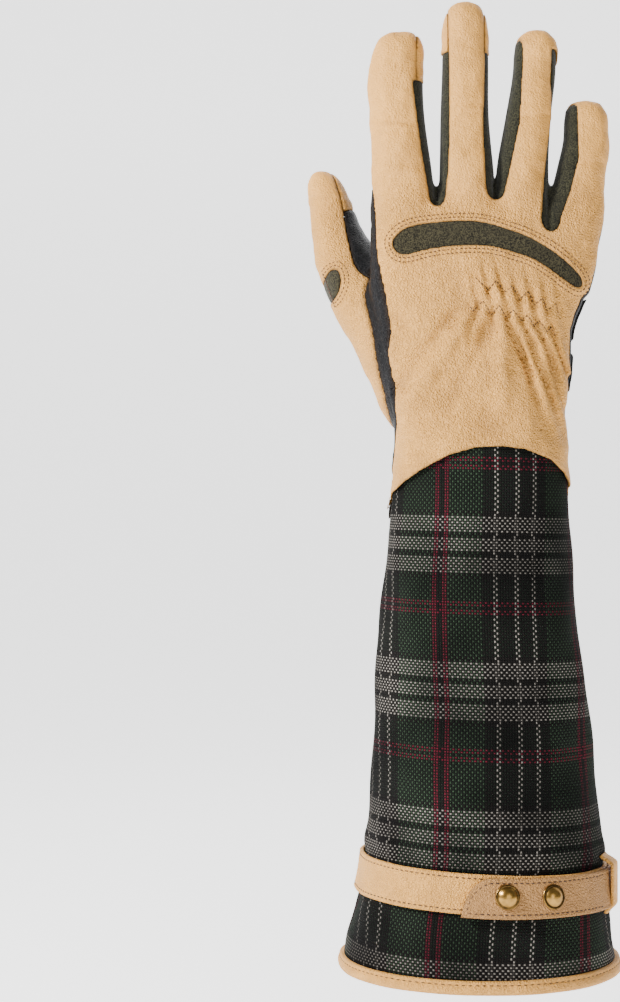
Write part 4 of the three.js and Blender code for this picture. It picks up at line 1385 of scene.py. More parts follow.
def thread_colours(tree, share, colours, repeat):
    """Colour of a thread from its share of the repeat."""
    node = tree.nodes.new("ShaderNodeValToRGB")
    node.color_ramp.interpolation = "CONSTANT"
    stops = node.color_ramp.elements
    stops.remove(stops[1])
    for place, (start, name) in enumerate(colours):
        stop = stops[0] if place == 0 else stops.new(start / repeat)
        stop.position = start / repeat
        stop.color = (*THREADS[name], 1)
    tree.links.new(share.socket, node.inputs["Fac"])
    return node.outputs["Color"]


def channel(tree, colour, name):
    node = tree.nodes.new("ShaderNodeSeparateColor")
    tree.links.new(colour, node.inputs["Color"])
    return Shade(tree, node.outputs[name])


def tartan_material():
    """Plain weave: at each crossing the warp or the weft thread lies on top, turn about."""
    look = CLOTH_LOOK
    material, tree, shader = new_material(
        "tartan_weave", THREADS["green"], look["roughness"], specular=look["specular"]
    )
    uv = tree.nodes.new("ShaderNodeUVMap")
    uv.uv_map = "weave"
    split = tree.nodes.new("ShaderNodeSeparateXYZ")
    tree.links.new(uv.outputs["UV"], split.inputs["Vector"])
    warp = Shade(tree, split.outputs["X"])
    weft = Shade(tree, split.outputs["Y"])
    warp_share = ((warp.floor() + 0.5) / WARP_REPEAT).fraction()
    weft_share = ((weft.floor() + 0.5) / WEFT_REPEAT).fraction()
    warp_colour = thread_colours(tree, warp_share, WARP_COLOURS, WARP_REPEAT)
    weft_colour = thread_colours(tree, weft_share, WEFT_COLOURS, WEFT_REPEAT)
    over = ((warp.floor() + weft.floor()) * 0.5).fraction() * 2
    across = (warp.fraction() - 0.5) * 2
    along = (weft.fraction() - 0.5) * 2
    across = across * across
    along = along * along
    warp_bulge = (across * -look["warp_sides"] + 1).clamped() * (along * -look["warp_ends"] + 1)
    weft_bulge = (along * -look["weft_sides"] + 1).clamped() * (across * -look["weft_ends"] + 1)
    bulge = warp_bulge + (weft_bulge - warp_bulge) * over
    white_weft = channel(tree, weft_colour, "Green")
    white_warp = channel(tree, warp_colour, "Green")
    both_white = white_weft * white_warp * look["white_contrast"] - look["level"]
    both_white = both_white.clamped(0, look["white_limit"])
    red_warp = channel(tree, warp_colour, "Red") - white_warp
    red_warp = (red_warp * look["red_contrast"] - look["level"]).clamped()
    warp_colour = mixed(tree, both_white, warp_colour, THREADS["dark"])
    colour = mixed(tree, over * (red_warp * -look["red_shows"] + 1), warp_colour, weft_colour)
    fibres = noise(tree, "fibres")
    # Painted shade between the threads: the colour darkens where a thread's bulge falls away
    gap_shade = (bulge * -1 + 1).clamped().power(look["gap_shade_power"])
    colour = mixed(tree, gap_shade, colour, CLOTH_GAP_SHADE)
    colour = mixed(tree, (fibres * look["fibre_tint"]).clamped(), colour, CLOTH_FIBRE)
    # Lighter and darker patches over the cloth: painted sheen and fold shade, mixed with uneven tone
    patches = (noise(tree, "cloth_sheen_and_shade") - look["patch_level"]) * look["sheen_patch_contrast"]
    patches = (patches + look["sheen_patch_middle"]).clamped(*look["sheen_patch_limits"])
    colour = mixed(tree, 1.0, colour, patches, "MULTIPLY")
    tree.links.new(colour, shader.inputs["Base Color"])
    bump(tree, shader, bulge + fibres * look["fibre_height"], look["depth"])
    return material


def brass_material(name, colour):
    """Antique brass, stained in patches, with shade painted on its rolled rim."""
    look = BRASS_LOOK
    material, tree, shader = new_material(name, colour, look["roughness"], metallic=1.0)
    stain = (noise(tree, "stain") - look["stain_level"]).clamped() * look["stain"]
    # Painted shade: the rolled rim is darkened towards the stain colour
    stain = (stain + attribute(tree, "rim") * look["rim"]).clamped()
    tree.links.new(mixed(tree, stain, colour, BRASS_STAIN_AND_SHADE), shader.inputs["Base Color"])
    bump(tree, shader, noise(tree, "brass_bump"), look["depth"])
    return material


def thread_material(name, colour):
    material, tree, shader = new_material(name, colour, THREAD_LOOK["roughness"])
    bump(tree, shader, noise(tree, "thread_bump"), THREAD_LOOK["depth"])
    return material

def travelled_along(points):
    """Length along a line up to each of its points."""
    steps = np.linalg.norm(np.diff(points, axis=0), axis=1)
    return np.concatenate([[0], np.cumsum(steps)])


def at_stops(stops, travelled, values):
    """Every column of the values at lengths along a line."""
    return np.stack([np.interp(stops, travelled, column) for column in values.T], 1)


def thread_shape(length, width):
    """One stitch along x: a thick middle with pointed ends, in triangles."""
    rings, sides = 5, 6
    angles = 2 * math.pi * np.arange(sides) / sides
    points = [(-length / 2, 0, 0)]
    for ring in range(1, rings):
        turn = math.pi * ring / rings
        girth = math.sin(turn) ** STITCH_FULLNESS * width / 2
        middle = -math.cos(turn) * length / 2
        points += [(middle, girth * math.cos(a), girth * math.sin(a)) for a in angles]
    points.append((length / 2, 0, 0))
    faces = [(0, 1 + (s + 1) % sides, 1 + s) for s in range(sides)]
    for ring in range(rings - 2):
        base = 1 + ring * sides
        for s in range(sides):
            n = (s + 1) % sides
            faces.append((base + s, base + n, base + sides + n))
            faces.append((base + s, base + sides + n, base + sides + s))
    last = 1 + (rings - 2) * sides
    faces += [(last + s, last + (s + 1) % sides, len(points) - 1) for s in range(sides)]
    return np.array(points), np.array(faces)


def stitches(name, rows, material, slot):
    """Rows of stitches along lines of points in space: each row is (points, outward directions)."""
    pitch, length, width = STITCHES[name]
    spots, aims, ups = [], [], []
    for points, outward in rows:
        travelled = travelled_along(points)
        stops = np.arange(pitch / 2, travelled[-1], pitch)
        place = at_stops(stops, travelled, points)
        aim = at_stops(stops + STITCH_PROBE, travelled, points)
        aim -= at_stops(stops - STITCH_PROBE, travelled, points)
        up = at_stops(stops, travelled, outward)
        good = np.isfinite(place).all(1) & (np.linalg.norm(aim, axis=1) > STITCH_LEAST)
        spots.append(place[good])
        aims.append(aim[good])
        ups.append(up[good])
    place, aim, up = (np.concatenate(part) for part in (spots, aims, ups))
    aim /= np.linalg.norm(aim, axis=1)[:, None]
    up -= aim * (up * aim).sum(1)[:, None]
    up /= np.linalg.norm(up, axis=1)[:, None]
    across = np.cross(up, aim)
    unit, unit_faces = thread_shape(length, width)
    points = (
        place[:, None, :]
        + unit[None, :, 0, None] * aim[:, None, :]
        + unit[None, :, 1, None] * across[:, None, :]
        + unit[None, :, 2, None] * up[:, None, :]
    )
    faces = unit_faces[None] + (np.arange(len(place)) * len(unit))[:, None, None]
    obj = new_mesh(name, points.reshape(-1, 3), faces.reshape(-1, 3))
    return finish_piece(obj, material, slot)


def on_surface(depths, line, outward_y):
    """Points of a flat line laid on a depth map, with the outward direction at each."""
    line = np.asarray(line, float)
    travelled = travelled_along(line)
    stops = np.arange(0, travelled[-1], SURFACE_STEP)
    flat = at_stops(stops, travelled, line)
    depth = look_up(depths, flat)
    probe = SURFACE_PROBE
    slope_x = (look_up(depths, flat + [probe, 0]) - look_up(depths, flat - [probe, 0])) / (2 * probe)
    slope_z = (look_up(depths, flat + [0, probe]) - look_up(depths, flat - [0, probe])) / (2 * probe)
    outward = np.stack([-slope_x, np.ones(len(flat)), -slope_z], 1) * outward_y
    outward /= np.linalg.norm(outward, axis=1)[:, None]
    points = np.stack([flat[:, 0], depth, flat[:, 1]], 1) + STITCH_LIFT * outward
    good = np.isfinite(points).all(1) & np.isfinite(outward).all(1)
    return points[good], outward[good]


def offset_outline(outline, distance_out):
    """Closed outline moved out by a distance."""
    points = np.array(outline)
    along = np.roll(points, -1, 0) - np.roll(points, 1, 0)
    along /= np.linalg.norm(along, axis=1)[:, None]
    x, z = points.T
    turn = np.sign((x * np.roll(z, -1) - np.roll(x, -1) * z).sum())
    outward = np.stack([along[:, 1], -along[:, 0]], 1) * turn
    moved = points + outward * distance_out
    return np.concatenate([moved, moved[:1]])

def rounded_line(points, steps=6):
    """Open line through the points as a smooth curve."""
    places = np.linspace(0, len(points) - 1, steps * (len(points) - 1) + 1)
    rows = [(place, x, z) for place, (x, z) in enumerate(points)]
    return sample_rows(rows, places)[:, 1:]


def offset_line(points, distance_out):
    """Open line moved sideways by a distance."""
    along = np.gradient(points, axis=0)
    along /= np.linalg.norm(along, axis=1)[:, None]
    return points + distance_out * np.stack([-along[:, 1], along[:, 0]], 1)


def patch_oval(away, steps=48):
    """Leaning oval at a distance round the thumb's patch."""
    turns = 2 * math.pi * np.arange(steps + 1) / steps
    rise = (THUMB_PATCH["height"] + away) * np.sin(turns)
    across = (THUMB_PATCH["width"] + away) * np.cos(turns) - THUMB_PATCH["lean"] * rise
    return np.stack([THUMB_PATCH["x"] + across, THUMB_PATCH["z"] + rise], 1)

def ring_points(angles, heights, offsets, rows=CUFF_ROWS, power=CUFF_POWER):
    """Points round the gauntlet; the three arrays have the same shape."""
    columns = sample_rows(rows, np.ravel(heights)).reshape(*np.shape(heights), 5)
    across, along = np.cos(angles), np.sin(angles)
    x = columns[..., 1] + np.sign(across) * np.abs(across) ** (2 / power) * (columns[..., 3] + offsets)
    y = columns[..., 2] + np.sign(along) * np.abs(along) ** (2 / power) * (columns[..., 4] + offsets)
    return np.stack([x, y, heights + 0 * x], -1)


def grid_faces(rows, columns, closed=True):
    """Quads between neighbouring rings of points, ring after ring."""
    row = np.arange(rows - 1)[:, None]
    column = np.arange(columns if closed else columns - 1)[None, :]
    beside = (column + 1) % columns
    corners = [row * columns + column, row * columns + beside, (row + 1) * columns + beside]
    corners.append((row + 1) * columns + column)
    return np.stack([np.broadcast_to(c, (rows - 1, column.shape[1])) for c in corners], -1).reshape(-1, 4)


def tube_faces(rings, count):
    """Quads between rings of points, with the last ring joined to the first."""
    closing = grid_faces(2, count)
    closing = np.where(closing >= count, closing - count, closing + (rings - 1) * count)
    return np.concatenate([grid_faces(rings, count), closing])


def closed_strip(points):
    """Points and triangles of a strip of rings with both ends closed."""
    rows, count = points.shape[:2]
    faces = grid_faces(rows, count)
    ring = np.arange(count)
    beside = (ring + 1) % count
    base = (rows - 1) * count
    first_end = np.stack([ring, np.full(count, rows * count), beside], 1)
    last_end = np.stack([base + beside, np.full(count, rows * count + 1), base + ring], 1)
    triangles = np.concatenate([faces[:, [0, 1, 2]], faces[:, [0, 2, 3]], first_end, last_end])
    middles = [points[0].mean(0), points[-1].mean(0)]
    return np.concatenate([points.reshape(-1, 3), middles]), triangles


def cloth_wave(name, angles, heights):
    around, upward, start = CUFF_WAVES[name]
    return np.sin(around * angles + upward * heights + start)


def cuff_relief(angles, heights):
    """Soft folds of the cloth, drawn in at the strap and gathered under the wrist."""
    folds = CUFF_FOLDS
    flutes = ease(np.sin(angles), *folds["palm_side"]) * ease(heights, *folds["flute_heights"])
    flutes = folds["flute"] * flutes * cloth_wave("flute", angles, heights)
    slack = cloth_wave("slack", angles, heights) * cloth_wave("slack_swell", angles, heights)
    ripple = cloth_wave("ripple", angles, heights) * cloth_wave("ripple_swell", angles, heights)
    level = STRAP_LEVEL[0] + STRAP_LEVEL[1] * folds["reach"] * np.cos(angles)
    above = heights - level - STRAP_HEIGHT / 2
    below = level - STRAP_HEIGHT / 2 - heights
    pucker = 0.5 + 0.5 * cloth_wave("pucker", angles, heights)
    pucker *= bell(above - folds["above"], folds["above"])
    flare = bell(below - folds["below"], folds["below"]) * cloth_wave("flare", angles, heights)
    calm = ease(heights, *folds["hem_calm"]) * (1 - folds["calm"] * ease(heights, *folds["top_calm"]))
    near_strap = 1 - np.exp(-(((heights - level) / (STRAP_HEIGHT / 2)) ** 4))
    total = flutes + folds["slack"] * slack + folds["ripple"] * ripple
    total += folds["pucker"] * pucker + folds["flare"] * flare
    return total * calm * near_strap - folds["drawn_in"]


def cuff_piece():
    """Woven gauntlet, one sheet of cloth with its thickness."""
    steps, rows = CUFF_GRID
    angles = -math.pi / 2 + 2 * math.pi * np.arange(steps) / steps
    rim = ring_points(angles, np.full(steps, CUFF_RIM), 0.0)
    places, heights = np.array(ARCH_POINTS).T
    arch = np.interp(rim[:, 0], places, heights)
    share = ease(rim[:, 1], ARCH_SPLIT_Y - ARCH_BLEND, ARCH_SPLIT_Y + ARCH_BLEND)
    top = arch + (PALM_EDGE - arch) * share + CUFF_LAP
    part = np.linspace(0, 1, rows)[:, None]
    level = CUFF_BOTTOM + part * (top - CUFF_BOTTOM)
    turn = np.broadcast_to(angles, level.shape)
    relief_here = cuff_relief(turn, level)
    outer = ring_points(turn, level, relief_here - CLOTH_STEP)
    inside = ring_points(turn, level, relief_here - CLOTH_STEP - CLOTH)
    points = np.concatenate([outer.reshape(-1, 3), inside[::-1].reshape(-1, 3)])
    obj = new_mesh("cuff_cloth", points, tube_faces(2 * rows, steps))
    lay_threads(obj, outer, level, turn)
    return finish_piece(obj, tartan, "tartan_cloth", "cuff")


def lay_threads(obj, outer, level, turn):
    """Numbers of the warp and weft thread at every corner, counted from the front and the palm."""
    round_trip = np.linalg.norm(np.diff(np.concatenate([outer, outer[:, :1]], 1), axis=1), axis=2)
    travelled = np.cumsum(round_trip, axis=1) - round_trip
    length = round_trip.sum(axis=1, keepdims=True)
    from_front = np.where(travelled > length / 2, travelled - length, travelled)
    from_palm = travelled - length / 2
    on_palm = np.sin(turn) > 0
    drift = np.interp(level, *np.array(WARP_DRIFT_ROWS).T)
    warp = np.where(on_palm, from_palm + PALM_WARP_START, from_front - drift) / WARP_PITCH
    weft = (level + WEFT_TILT * outer[:, :, 0]) / WEFT_PITCH
    warp = np.concatenate([warp, warp[::-1]]).ravel()
    weft = np.concatenate([weft, weft[::-1]]).ravel()
    layer = obj.data.uv_layers.new(name="weave")
    corners = np.zeros(len(obj.data.loops), np.int32)
    obj.data.loops.foreach_get("vertex_index", corners)
    spread = warp[corners].reshape(-1, 4)
    middle = np.median(spread, axis=1, keepdims=True)
    jump = np.abs(spread - middle) > THREAD_JUMP
    spread = np.where(jump, middle, spread)
    uv = np.stack([spread.ravel(), weft[corners]], 1)
    layer.data.foreach_set("uv", uv.astype(np.float32).ravel())


def band_sway(turn):
    """Slight waves of a band round the gauntlet."""
    wide = BAND["sway"] * np.sin(BAND["waves"] * turn + 1)
    return wide + BAND["fine_sway"] * np.sin(BAND["fine_waves"] * turn)


def sweep_ring(name, profile, level_of, node):
    """Closed leather ring round the gauntlet from a loop of (offset, height) points."""
    angles = 2 * math.pi * np.arange(ROUND_STEPS) / ROUND_STEPS
    offsets, rises = (np.array(part) for part in zip(*profile))
    turn = np.broadcast_to(angles[:, None], (ROUND_STEPS, len(profile)))
    level = level_of(turn) + rises
    points = ring_points(turn, level, offsets - CLOTH_STEP + band_sway(turn) * (offsets > 0))
    faces = tube_faces(ROUND_STEPS, len(profile))
    obj = new_mesh(name, points.reshape(-1, 3), faces[:, ::-1])
    return finish_piece(obj, tan_leather, "tan_leather", node)


def strap_level(turn):
    section = sample_rows(CUFF_ROWS, [STRAP_LEVEL[0]])[0]
    x = section[1] + np.sign(np.cos(turn)) * np.abs(np.cos(turn)) ** (2 / CUFF_POWER) * section[3]
    return STRAP_LEVEL[0] + STRAP_LEVEL[1] * x


def band_profile(low, high, half):
    """Rounded section of a strap with a shallow groove along each stitched edge."""
    groove = half - BAND["groove_inset"]
    rises = np.linspace(-half + BAND["edge"], half - BAND["edge"], BAND["steps"])
    dips = BAND["groove_depth"] * bell(np.abs(rises) - groove, BAND["groove_width"])
    shoulder = high - BAND["outer_round"]
    corner = low + BAND["inner_round"]
    inner_edge = half - BAND["inner_edge"]
    inner_flat = half - BAND["inner_flat"]
    return [
        (corner, -inner_edge),
        (shoulder, -half),
        *zip(high - dips, rises),
        (shoulder, half),
        (corner, inner_edge),
        (low, inner_flat),
        (low, -inner_flat),
    ]


def tab_half(x):
    """Lower and upper edge of the lapped end from the strap's middle line."""
    low = -STRAP_HEIGHT / 2 - TAB["drop"] * (1 - ease(x, 0, TAB["drop_over"]))
    share = np.clip((TAB["full_x"] - x) / TAB["reach"], 0, 1)
    return low, low + STRAP_HEIGHT * np.sqrt(np.clip(1 - share ** TAB["tip_power"], 0, 1))


def tab_piece():
    """Lapped end of the strap, from its rounded tip on the back to behind the loop."""
    low_offset = TAB_TOP - STRAP_THICKNESS
    high_offset = TAB_TOP
    section = sample_rows(CUFF_ROWS, [STRAP_LEVEL[0]])[0]
    radius = section[3] + high_offset
    tip = TAB["full_x"] - TAB["reach"] + TAB["tip_gap"]
    first = -math.pi / 2 + math.asin((tip - section[1]) / radius)
    last = math.asin(TAB["last_y"] / section[4])
    steps = TAB["steps"]
    turns = first + (last - first) * np.linspace(0, 1, steps) ** TAB["crowding"]
    profile = np.array(band_profile(low_offset, high_offset, STRAP_HEIGHT / 2))
    turn = np.broadcast_to(turns[:, None], (steps, len(profile)))
    x = ring_points(turns, np.full(steps, STRAP_LEVEL[0]), high_offset)[:, 0]
    low, high = tab_half(x)
    share_up = (profile[:, 1] + STRAP_HEIGHT / 2) / STRAP_HEIGHT
    rise = low[:, None] + (high - low)[:, None] * share_up
    level = (STRAP_LEVEL[0] + STRAP_LEVEL[1] * x)[:, None] + rise
    points = ring_points(turn, level, profile[:, 0] - CLOTH_STEP + 0 * turn)
    flat, triangles = closed_strip(points)
    obj = new_mesh("strap_end", flat, triangles[:, ::-1])
    return finish_piece(obj, lapped_leather, "tan_leather", "strap_tab")


def tab_stitch_rows():
    """Stitch lines inside the edges of the lapped end, meeting round its tip."""
    offset = TAB_TOP - CLOTH_STEP - TAB_STITCH["sink"]
    inset = TAB_STITCH["inset"]
    first_x = TAB["full_x"] - TAB["reach"] + TAB_STITCH["tip"]
    x = np.linspace(first_x, TAB_STITCH["last_x"], TAB_STITCH["steps"])
    low, high = tab_half(x - TAB_STITCH["shift"])
    rows = []
    for upper in (True, False):
        rise = np.maximum(high - inset, low + inset) if upper else low + inset
        level = STRAP_LEVEL[0] + STRAP_LEVEL[1] * x + rise
        columns = sample_rows(CUFF_ROWS, level)
        share = np.clip((x - columns[:, 1]) / (columns[:, 3] + offset), -1, 1)
        across = np.sign(share) * np.abs(share) ** (CUFF_POWER / 2)
        turn = -np.arccos(np.clip(across, -1, 1))
        points = ring_points(turn, level, offset)
        outward = np.stack([np.cos(turn), np.sin(turn), 0 * turn], 1)
        rows.append((points, outward))
    return rows


def ring_row(offset, rise, level_of, start):
    """A line once round the gauntlet for stitches."""
    turn = np.linspace(start, start + 2 * math.pi, RING_STOPS)
    points = ring_points(turn, level_of(turn) + rise, offset - CLOTH_STEP + 0 * turn)
    outward = np.stack([np.cos(turn), np.sin(turn), 0 * turn], 1)
    return points + outward * band_sway(turn)[:, None], outward


def loop_path(section):
    """Middle line of the loop, from the cloth out over strap and tab and back, as points of x and z."""
    skin_x = section[1] + section[3] - CLOTH_STEP
    middle = skin_x + TAB_TOP + LOOP["clearance"] + LOOP["thickness"] / 2
    path = []
    for z in np.linspace(LOOP["bottom"], LOOP["top"], LOOP["path_steps"]):
        share = (z - LOOP["bottom"]) / (LOOP["top"] - LOOP["bottom"])
        foot = sample_rows(CUFF_ROWS, [z])[0]
        foot_x = foot[1] + foot[3] - CLOTH_STEP + LOOP["thickness"] / 2 + LOOP["foot_gap"]
        rise = min(ease(share, 0, LOOP["bend"]), 1 - ease(share, 1 - LOOP["bend"], 1))
        path.append((foot_x + (middle - foot_x) * rise, z))
    return np.array(path)


def loop_profile():
    """Rounded section of the loop's leather."""
    profile = []
    for angle in 2 * math.pi * np.arange(LOOP["round_steps"]) / LOOP["round_steps"]:
        wide = math.copysign(abs(math.cos(angle)) ** LOOP["wide_power"], math.cos(angle))
        thick = math.copysign(abs(math.sin(angle)) ** LOOP["thick_power"], math.sin(angle))
        profile.append((wide * LOOP["width"] / 2, thick * LOOP["thickness"] / 2))
    return profile


def loop_piece():
    """Keeper loop: a bent leather band over the strap on the little-finger side."""
    section = sample_rows(CUFF_ROWS, [(LOOP["bottom"] + LOOP["top"]) / 2])[0]
    path = loop_path(section)
    along = np.gradient(path, axis=0)
    along /= np.linalg.norm(along, axis=1)[:, None]
    outward = np.stack([along[:, 1], -along[:, 0]], 1)
    profile = loop_profile()
    rings = [
        [(x + nx * thick, wide, z + nz * thick) for wide, thick in profile]
        for (x, z), (nx, nz) in zip(path, outward)
    ]
    points, triangles = closed_strip(np.array(rings))
    angle = math.radians(LOOP["angle"])
    seat = ring_points(np.array([angle]), section[:1], 0)[0]
    turn = math.atan2(math.sin(angle) / section[4], math.cos(angle) / section[3])
    x, y, z = points.T
    x = x - section[1] - section[3]
    turned_x = seat[0] + x * math.cos(turn) - y * math.sin(turn)
    turned_y = seat[1] + x * math.sin(turn) + y * math.cos(turn)
    obj = new_mesh("keeper_loop", np.stack([turned_x, turned_y, z], 1), triangles)
    return finish_piece(obj, tan_leather, "tan_leather", "strap_loop")


def snap_piece(node, x):
    """Domed brass cap with a rolled rim, seated on the lapped end."""
    angles = 2 * math.pi * np.arange(SNAP_STEPS) / SNAP_STEPS
    rings = [[(r * math.cos(a), h, r * math.sin(a)) for a in angles] for r, h in SNAP_PROFILE]
    points = np.array(rings).reshape(-1, 3)
    faces = grid_faces(len(SNAP_PROFILE), SNAP_STEPS)
    z = STRAP_LEVEL[0] + STRAP_LEVEL[1] * x
    section = sample_rows(CUFF_ROWS, [z])[0]
    lift = TAB_TOP - CLOTH_STEP - SNAP_SINK
    turn = math.asin((x - section[1]) / (section[3] + lift))
    seat = ring_points(np.array([turn - math.pi / 2]), np.array([z]), lift)[0]
    outward = Vector((math.sin(turn) / section[3], -math.cos(turn) / section[4], SNAP_TILT)).normalized()
    rotation = np.array(Vector((0, 1, 0)).rotation_difference(outward).to_matrix())
    points = points @ rotation.T + [x, seat[1], z]
    obj = new_mesh(node.replace("snap", "snap_cap"), points, faces[:, ::-1])
    # Mark of the rolled rim, where shade is painted into the brass colour
    low, high = SNAP_RIM_SHADE_RADII
    store(obj, "rim", np.repeat([float(low < radius < high) for radius, _ in SNAP_PROFILE], SNAP_STEPS))
    return finish_piece(obj, brass_dome, "antique_brass", node)


def hem_level(turn):
    return 0 * turn

def add_floor():
    floor_z = -FLOOR["drop"]
    start, radius = FLOOR["bend_start"], FLOOR["bend_radius"]
    curve = [(FLOOR["front"], floor_z), (start, floor_z)]
    for turn in np.linspace(FLOOR["first_turn"], math.pi / 2, FLOOR["bend_points"]):
        curve.append((start + radius * math.sin(turn), floor_z + radius * (1 - math.cos(turn))))
    curve.append((start + radius, FLOOR["top"]))
    points = [(x, y, z) for y, z in curve for x in (-FLOOR["half_width"], FLOOR["half_width"])]
    faces = [(2 * i, 2 * i + 1, 2 * i + 3, 2 * i + 2) for i in range(len(curve) - 1)]
    floor = new_mesh("floor", points, faces)
    look = (FLOOR["colour"], FLOOR["roughness"])
    pale, _, shader = new_material("pale_floor", *look, specular=FLOOR["specular"])
    shader.inputs["Emission Color"].default_value = (1, 1, 1, 1)
    shader.inputs["Emission Strength"].default_value = FLOOR["glow"]
    floor.data.materials.append(pale)


def add_lights():
    world = bpy.data.worlds.new("studio")
    world.use_nodes = True
    background = world.node_tree.nodes["Background"]
    background.inputs["Color"].default_value = (1, 1, 1, 1)
    background.inputs["Strength"].default_value = WORLD_LIGHT
    bpy.context.scene.world = world
    for name, place, size, power in LIGHTS:
        lamp = bpy.data.lights.new(name, "AREA")
        lamp.shape = "DISK"
        lamp.size = size
        lamp.energy = power
        light = bpy.data.objects.new(name, lamp)
        light.location = Vector(place) * MM
        aim = Vector(LIGHT_AIM) * MM - light.location
        light.rotation_euler = aim.to_track_quat("-Z", "Y").to_euler()
        bpy.context.scene.collection.objects.link(light)


def add_camera():
    """Level camera at the photo's place."""
    data = bpy.data.cameras.new("camera")
    data.sensor_width = CAMERA["sensor"]
    data.lens = CAMERA["focal_pixels"] / CAMERA["frame_height"] * CAMERA["sensor"]
    data.clip_start = CAMERA["nearest"]
    data.clip_end = CAMERA["farthest"]
    camera = bpy.data.objects.new("camera", data)
    camera.location = Vector(CAMERA["place"]) * MM
    camera.rotation_euler = (math.pi / 2, 0, 0)
    bpy.context.scene.collection.objects.link(camera)
    bpy.context.scene.camera = camera


# Materials
leathers = [leather_material(name, *look) for name, look in LEATHERS.items()]
tan_leather, lapped_leather, black_leather = leathers
suedes = [suede_material(name, *look) for name, look in SUEDES.items()]
black_suede, olive_suede, green_suede = suedes
tartan = tartan_material()
brown_thread = thread_material("brown_thread", BROWN_THREAD)
strap_thread = thread_material("strap_thread", STRAP_THREAD)
black_thread = thread_material("black_thread", BLACK_THREAD)
brass_dome = brass_material("brass_dome", BRASS)

# Signed distances to the bare skin of hand and thumb
hand = smooth_max(distance(section_gauge(HAND_ROWS, HAND_POWER)), Z - HAND_ROWS[-1][0], HAND_TOP_ROUND)
digits = np.minimum.reduce([digit_field(digit, FINGER_FOOT_ROUND) for digit in FINGERS.values()])
hand = smooth_min(hand, digits, WEB_ROUND)
thumb = digit_field(THUMB, THUMB_FOOT_ROUND)
whole = smooth_min(hand, thumb, THUMB_ROUND)

# Regions of the panels, each below zero inside
seam_levels = sample_rows(SIDE_SEAM_ROWS, axis_z).astype(np.float32)
side_share = (X + SIDE_REACH) / (2 * SIDE_REACH)
side = Y - (seam_levels[:, 1] + (seam_levels[:, 2] - seam_levels[:, 1]) * side_share)
thumb_side = (thumb - hand) * THUMB_SIDE_SHARE + THUMB_ROOT_SHIFT
edge = leather_edge()
gusset_regions = {gusset["name"]: gusset_region(gusset) for gusset in GUSSETS}
gussets = np.minimum.reduce(list(gusset_regions.values()))
index_cap = cap_region(INDEX_CAP, side)
middle_cap = cap_region(MIDDLE_CAP, side)
caps = np.minimum(index_cap, middle_cap)
knuckle_outline = rounded(KNUCKLE_POINTS)
knuckle_flat = outline_distance(knuckle_outline)
knuckle = np.maximum(knuckle_flat[:, None, :], Y - KNUCKLE_FRONT)
patch_outline = rounded(PALM_PATCH_POINTS)
patch_flat = outline_distance(patch_outline)
thumb_tan = thumb_seam()
thumb_cap_edge = THUMB_CAP["height"] + THUMB_CAP["slope"] * (X - THUMB_CAP["x"]) - Z
thumb_patch = thumb_patch_region()

# Relief of the leather: folds, creases, gathers and raised lips beside the seams
back_relief = shirring() + FOLD_STRENGTH * fold_heights(BACK_FOLDS + FINGER_CREASES + THUMB_FOLDS)
back_relief += sum(uneven(*waves) for waves in BACK_UNEVEN)
back_relief *= 1 - FLAT_AT_KNUCKLE + FLAT_AT_KNUCKLE * ease(knuckle_flat, *KNUCKLE_FADE)
back_relief += lip_height(np.maximum(knuckle_flat, 0), "knuckle")
palm_relief = gathers() + FOLD_STRENGTH * fold_heights(PALM_CREASES)
palm_relief += sum(uneven(*waves) for waves in PALM_UNEVEN)
palm_share = ease(side, -PALM_BLEND, PALM_BLEND)
relief = back_relief[:, None, :] + (palm_relief - back_relief)[:, None, :] * palm_share
lip = lip_height(np.maximum(gussets, 0), "gusset")
lip += lip_height(np.maximum(-edge, 0), "edge")
lip += lip_height(thumb_side, "thumb")
for ridge in SIDE_RIDGES:
    lip += lip_height(side - ridge, "ridge") * ease(-X, *SIDE_RIDGE_REACH) * ease(Z, *SIDE_RIDGE_FOOT)
relief = (relief + lip).astype(np.float32)
skin = whole - relief
on_hand = -thumb_side
off_gussets = np.maximum(-gussets, -caps)

# Panels
leather_piece(
    "leather_back", "back_panel", skin,
    overlap(side, off_gussets, -knuckle, on_hand, edge), tan_leather, "tan_leather",
)
leather_piece(
    "leather_palm", "palm_panel", skin,
    overlap(-side, off_gussets, on_hand, edge), black_leather, "black_leather",
)
leather_piece(
    "knuckle_suede", "knuckle_patch", whole + KNUCKLE_SINK, knuckle - KNUCKLE_LAP,
    olive_suede, "olive_suede", KNUCKLE_THICKNESS,
)
leather_piece("index_tip", "index_cap", skin, index_cap, tan_leather, "tan_leather")
leather_piece("middle_tip", "middle_cap", skin, middle_cap, tan_leather, "tan_leather")
for gusset in GUSSETS:
    region = np.maximum.reduce([gusset_regions[gusset["name"]], -caps, on_hand])
    name = gusset["name"].replace("fourchette", "gusset")
    outside = (whole + GUSSET_SINK + gusset_crease(gusset)).astype(np.float32)
    leather_piece(name, gusset["name"], outside, region - GUSSET_LAP, green_suede, "green_suede")
leather_piece(
    "thumb_tan", "thumb_back", skin,
    overlap(thumb_side, thumb_tan, -thumb_patch), tan_leather, "tan_leather",
)
leather_piece(
    "thumb_black", "thumb_front", skin,
    overlap(thumb_side, -thumb_tan, -thumb_cap_edge), black_leather, "black_leather",
)
leather_piece(
    "thumb_tip", "thumb_cap", skin,
    overlap(thumb_side, -thumb_tan, thumb_cap_edge), tan_leather, "tan_leather",
)
leather_piece(
    "thumb_suede", "thumb_knuckle_patch", whole + THUMB_PATCH["sink"],
    np.maximum(thumb_side, thumb_patch), olive_suede, "olive_suede",
)
patch_region = overlap(patch_flat[:, None, :] + 0 * Y, PALM_PATCH_FRONT - Y, -thumb)
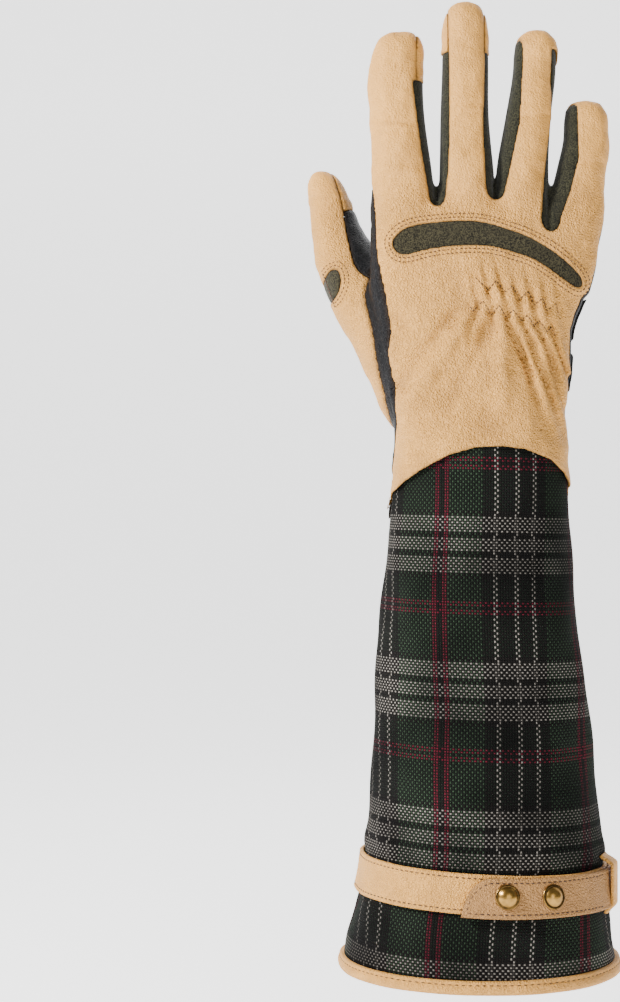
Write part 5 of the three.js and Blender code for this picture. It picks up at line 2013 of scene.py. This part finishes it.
leather_piece(
    "palm_suede", "palm_patch", hand - PATCH_LIFT - PATCH_RELIEF * relief, patch_region,
    black_suede, "black_suede", PATCH_THICKNESS,
)

# Stitches of the hand
back_depths = depth_map(skin)
palm_depths = depth_map(skin, from_palm=True)
knuckle_rows = [on_surface(back_depths, offset_outline(knuckle_outline, away), -1) for away in SEAM_ROWS]
stitches("knuckle_stitches", knuckle_rows, brown_thread, "tan_leather")
shirr_rows = [on_surface(back_depths, line, -1) for line in (SHIRR_UPPER, SHIRR_LOWER)]
stitches("shirr_stitches", shirr_rows, brown_thread, "tan_leather")
gather_rows = [on_surface(palm_depths, zigzag(row), 1) for row in ZIGZAGS]
stitches("gather_stitches", gather_rows, black_thread, "black_leather")
thumb_rows = [on_surface(back_depths, patch_oval(away), -1) for away in SEAM_ROWS]
stitches("thumb_stitches", thumb_rows, brown_thread, "tan_leather")
thenar = rounded_line(THENAR_POINTS)
thenar_rows = [on_surface(palm_depths, offset_line(thenar, away), 1) for away in THENAR_SEAM_ROWS]
stitches("thenar_stitches", thenar_rows, black_thread, "black_leather")
cap_rows = [
    on_surface(palm_depths, [(x, cap["height"] + away) for x in cap["stitched"]], 1)
    for cap in (INDEX_CAP, MIDDLE_CAP)
    for away in SEAM_ROWS
]
stitches("cap_stitches", cap_rows, brown_thread, "tan_leather")

# Gauntlet with its hem, strap and snaps
cuff = cuff_piece()
hem = sweep_ring("hem_leather", HEM_PROFILE, hem_level, "hem_binding")
strap_high = STRAP_LIFT + STRAP_THICKNESS
strap_profile = band_profile(STRAP_LIFT, strap_high, STRAP_HEIGHT / 2)
sweep_ring("strap_leather", strap_profile, strap_level, "strap")
tab_piece()
loop_piece()
for snap_node, snap_x in SNAPS.items():
    snap_piece(snap_node, snap_x)
hem_row = ring_row(HEM_STITCH["offset"], HEM_STITCH["height"], hem_level, HEM_STITCH_START)
hem_thread = stitches("hem_stitches", [hem_row], strap_thread, "tan_leather")
strap_rows = [
    ring_row(strap_high - STRAP_STITCH_SINK, rise, strap_level, STRAP_STITCH_START)
    for rise in STRAP_STITCH_ROWS
]
stitches("strap_stitches", strap_rows, strap_thread, "tan_leather")
stitches("tab_stitches", tab_stitch_rows(), strap_thread, "tan_leather")

# Floor, lights and camera
add_floor()
add_lights()
add_camera()
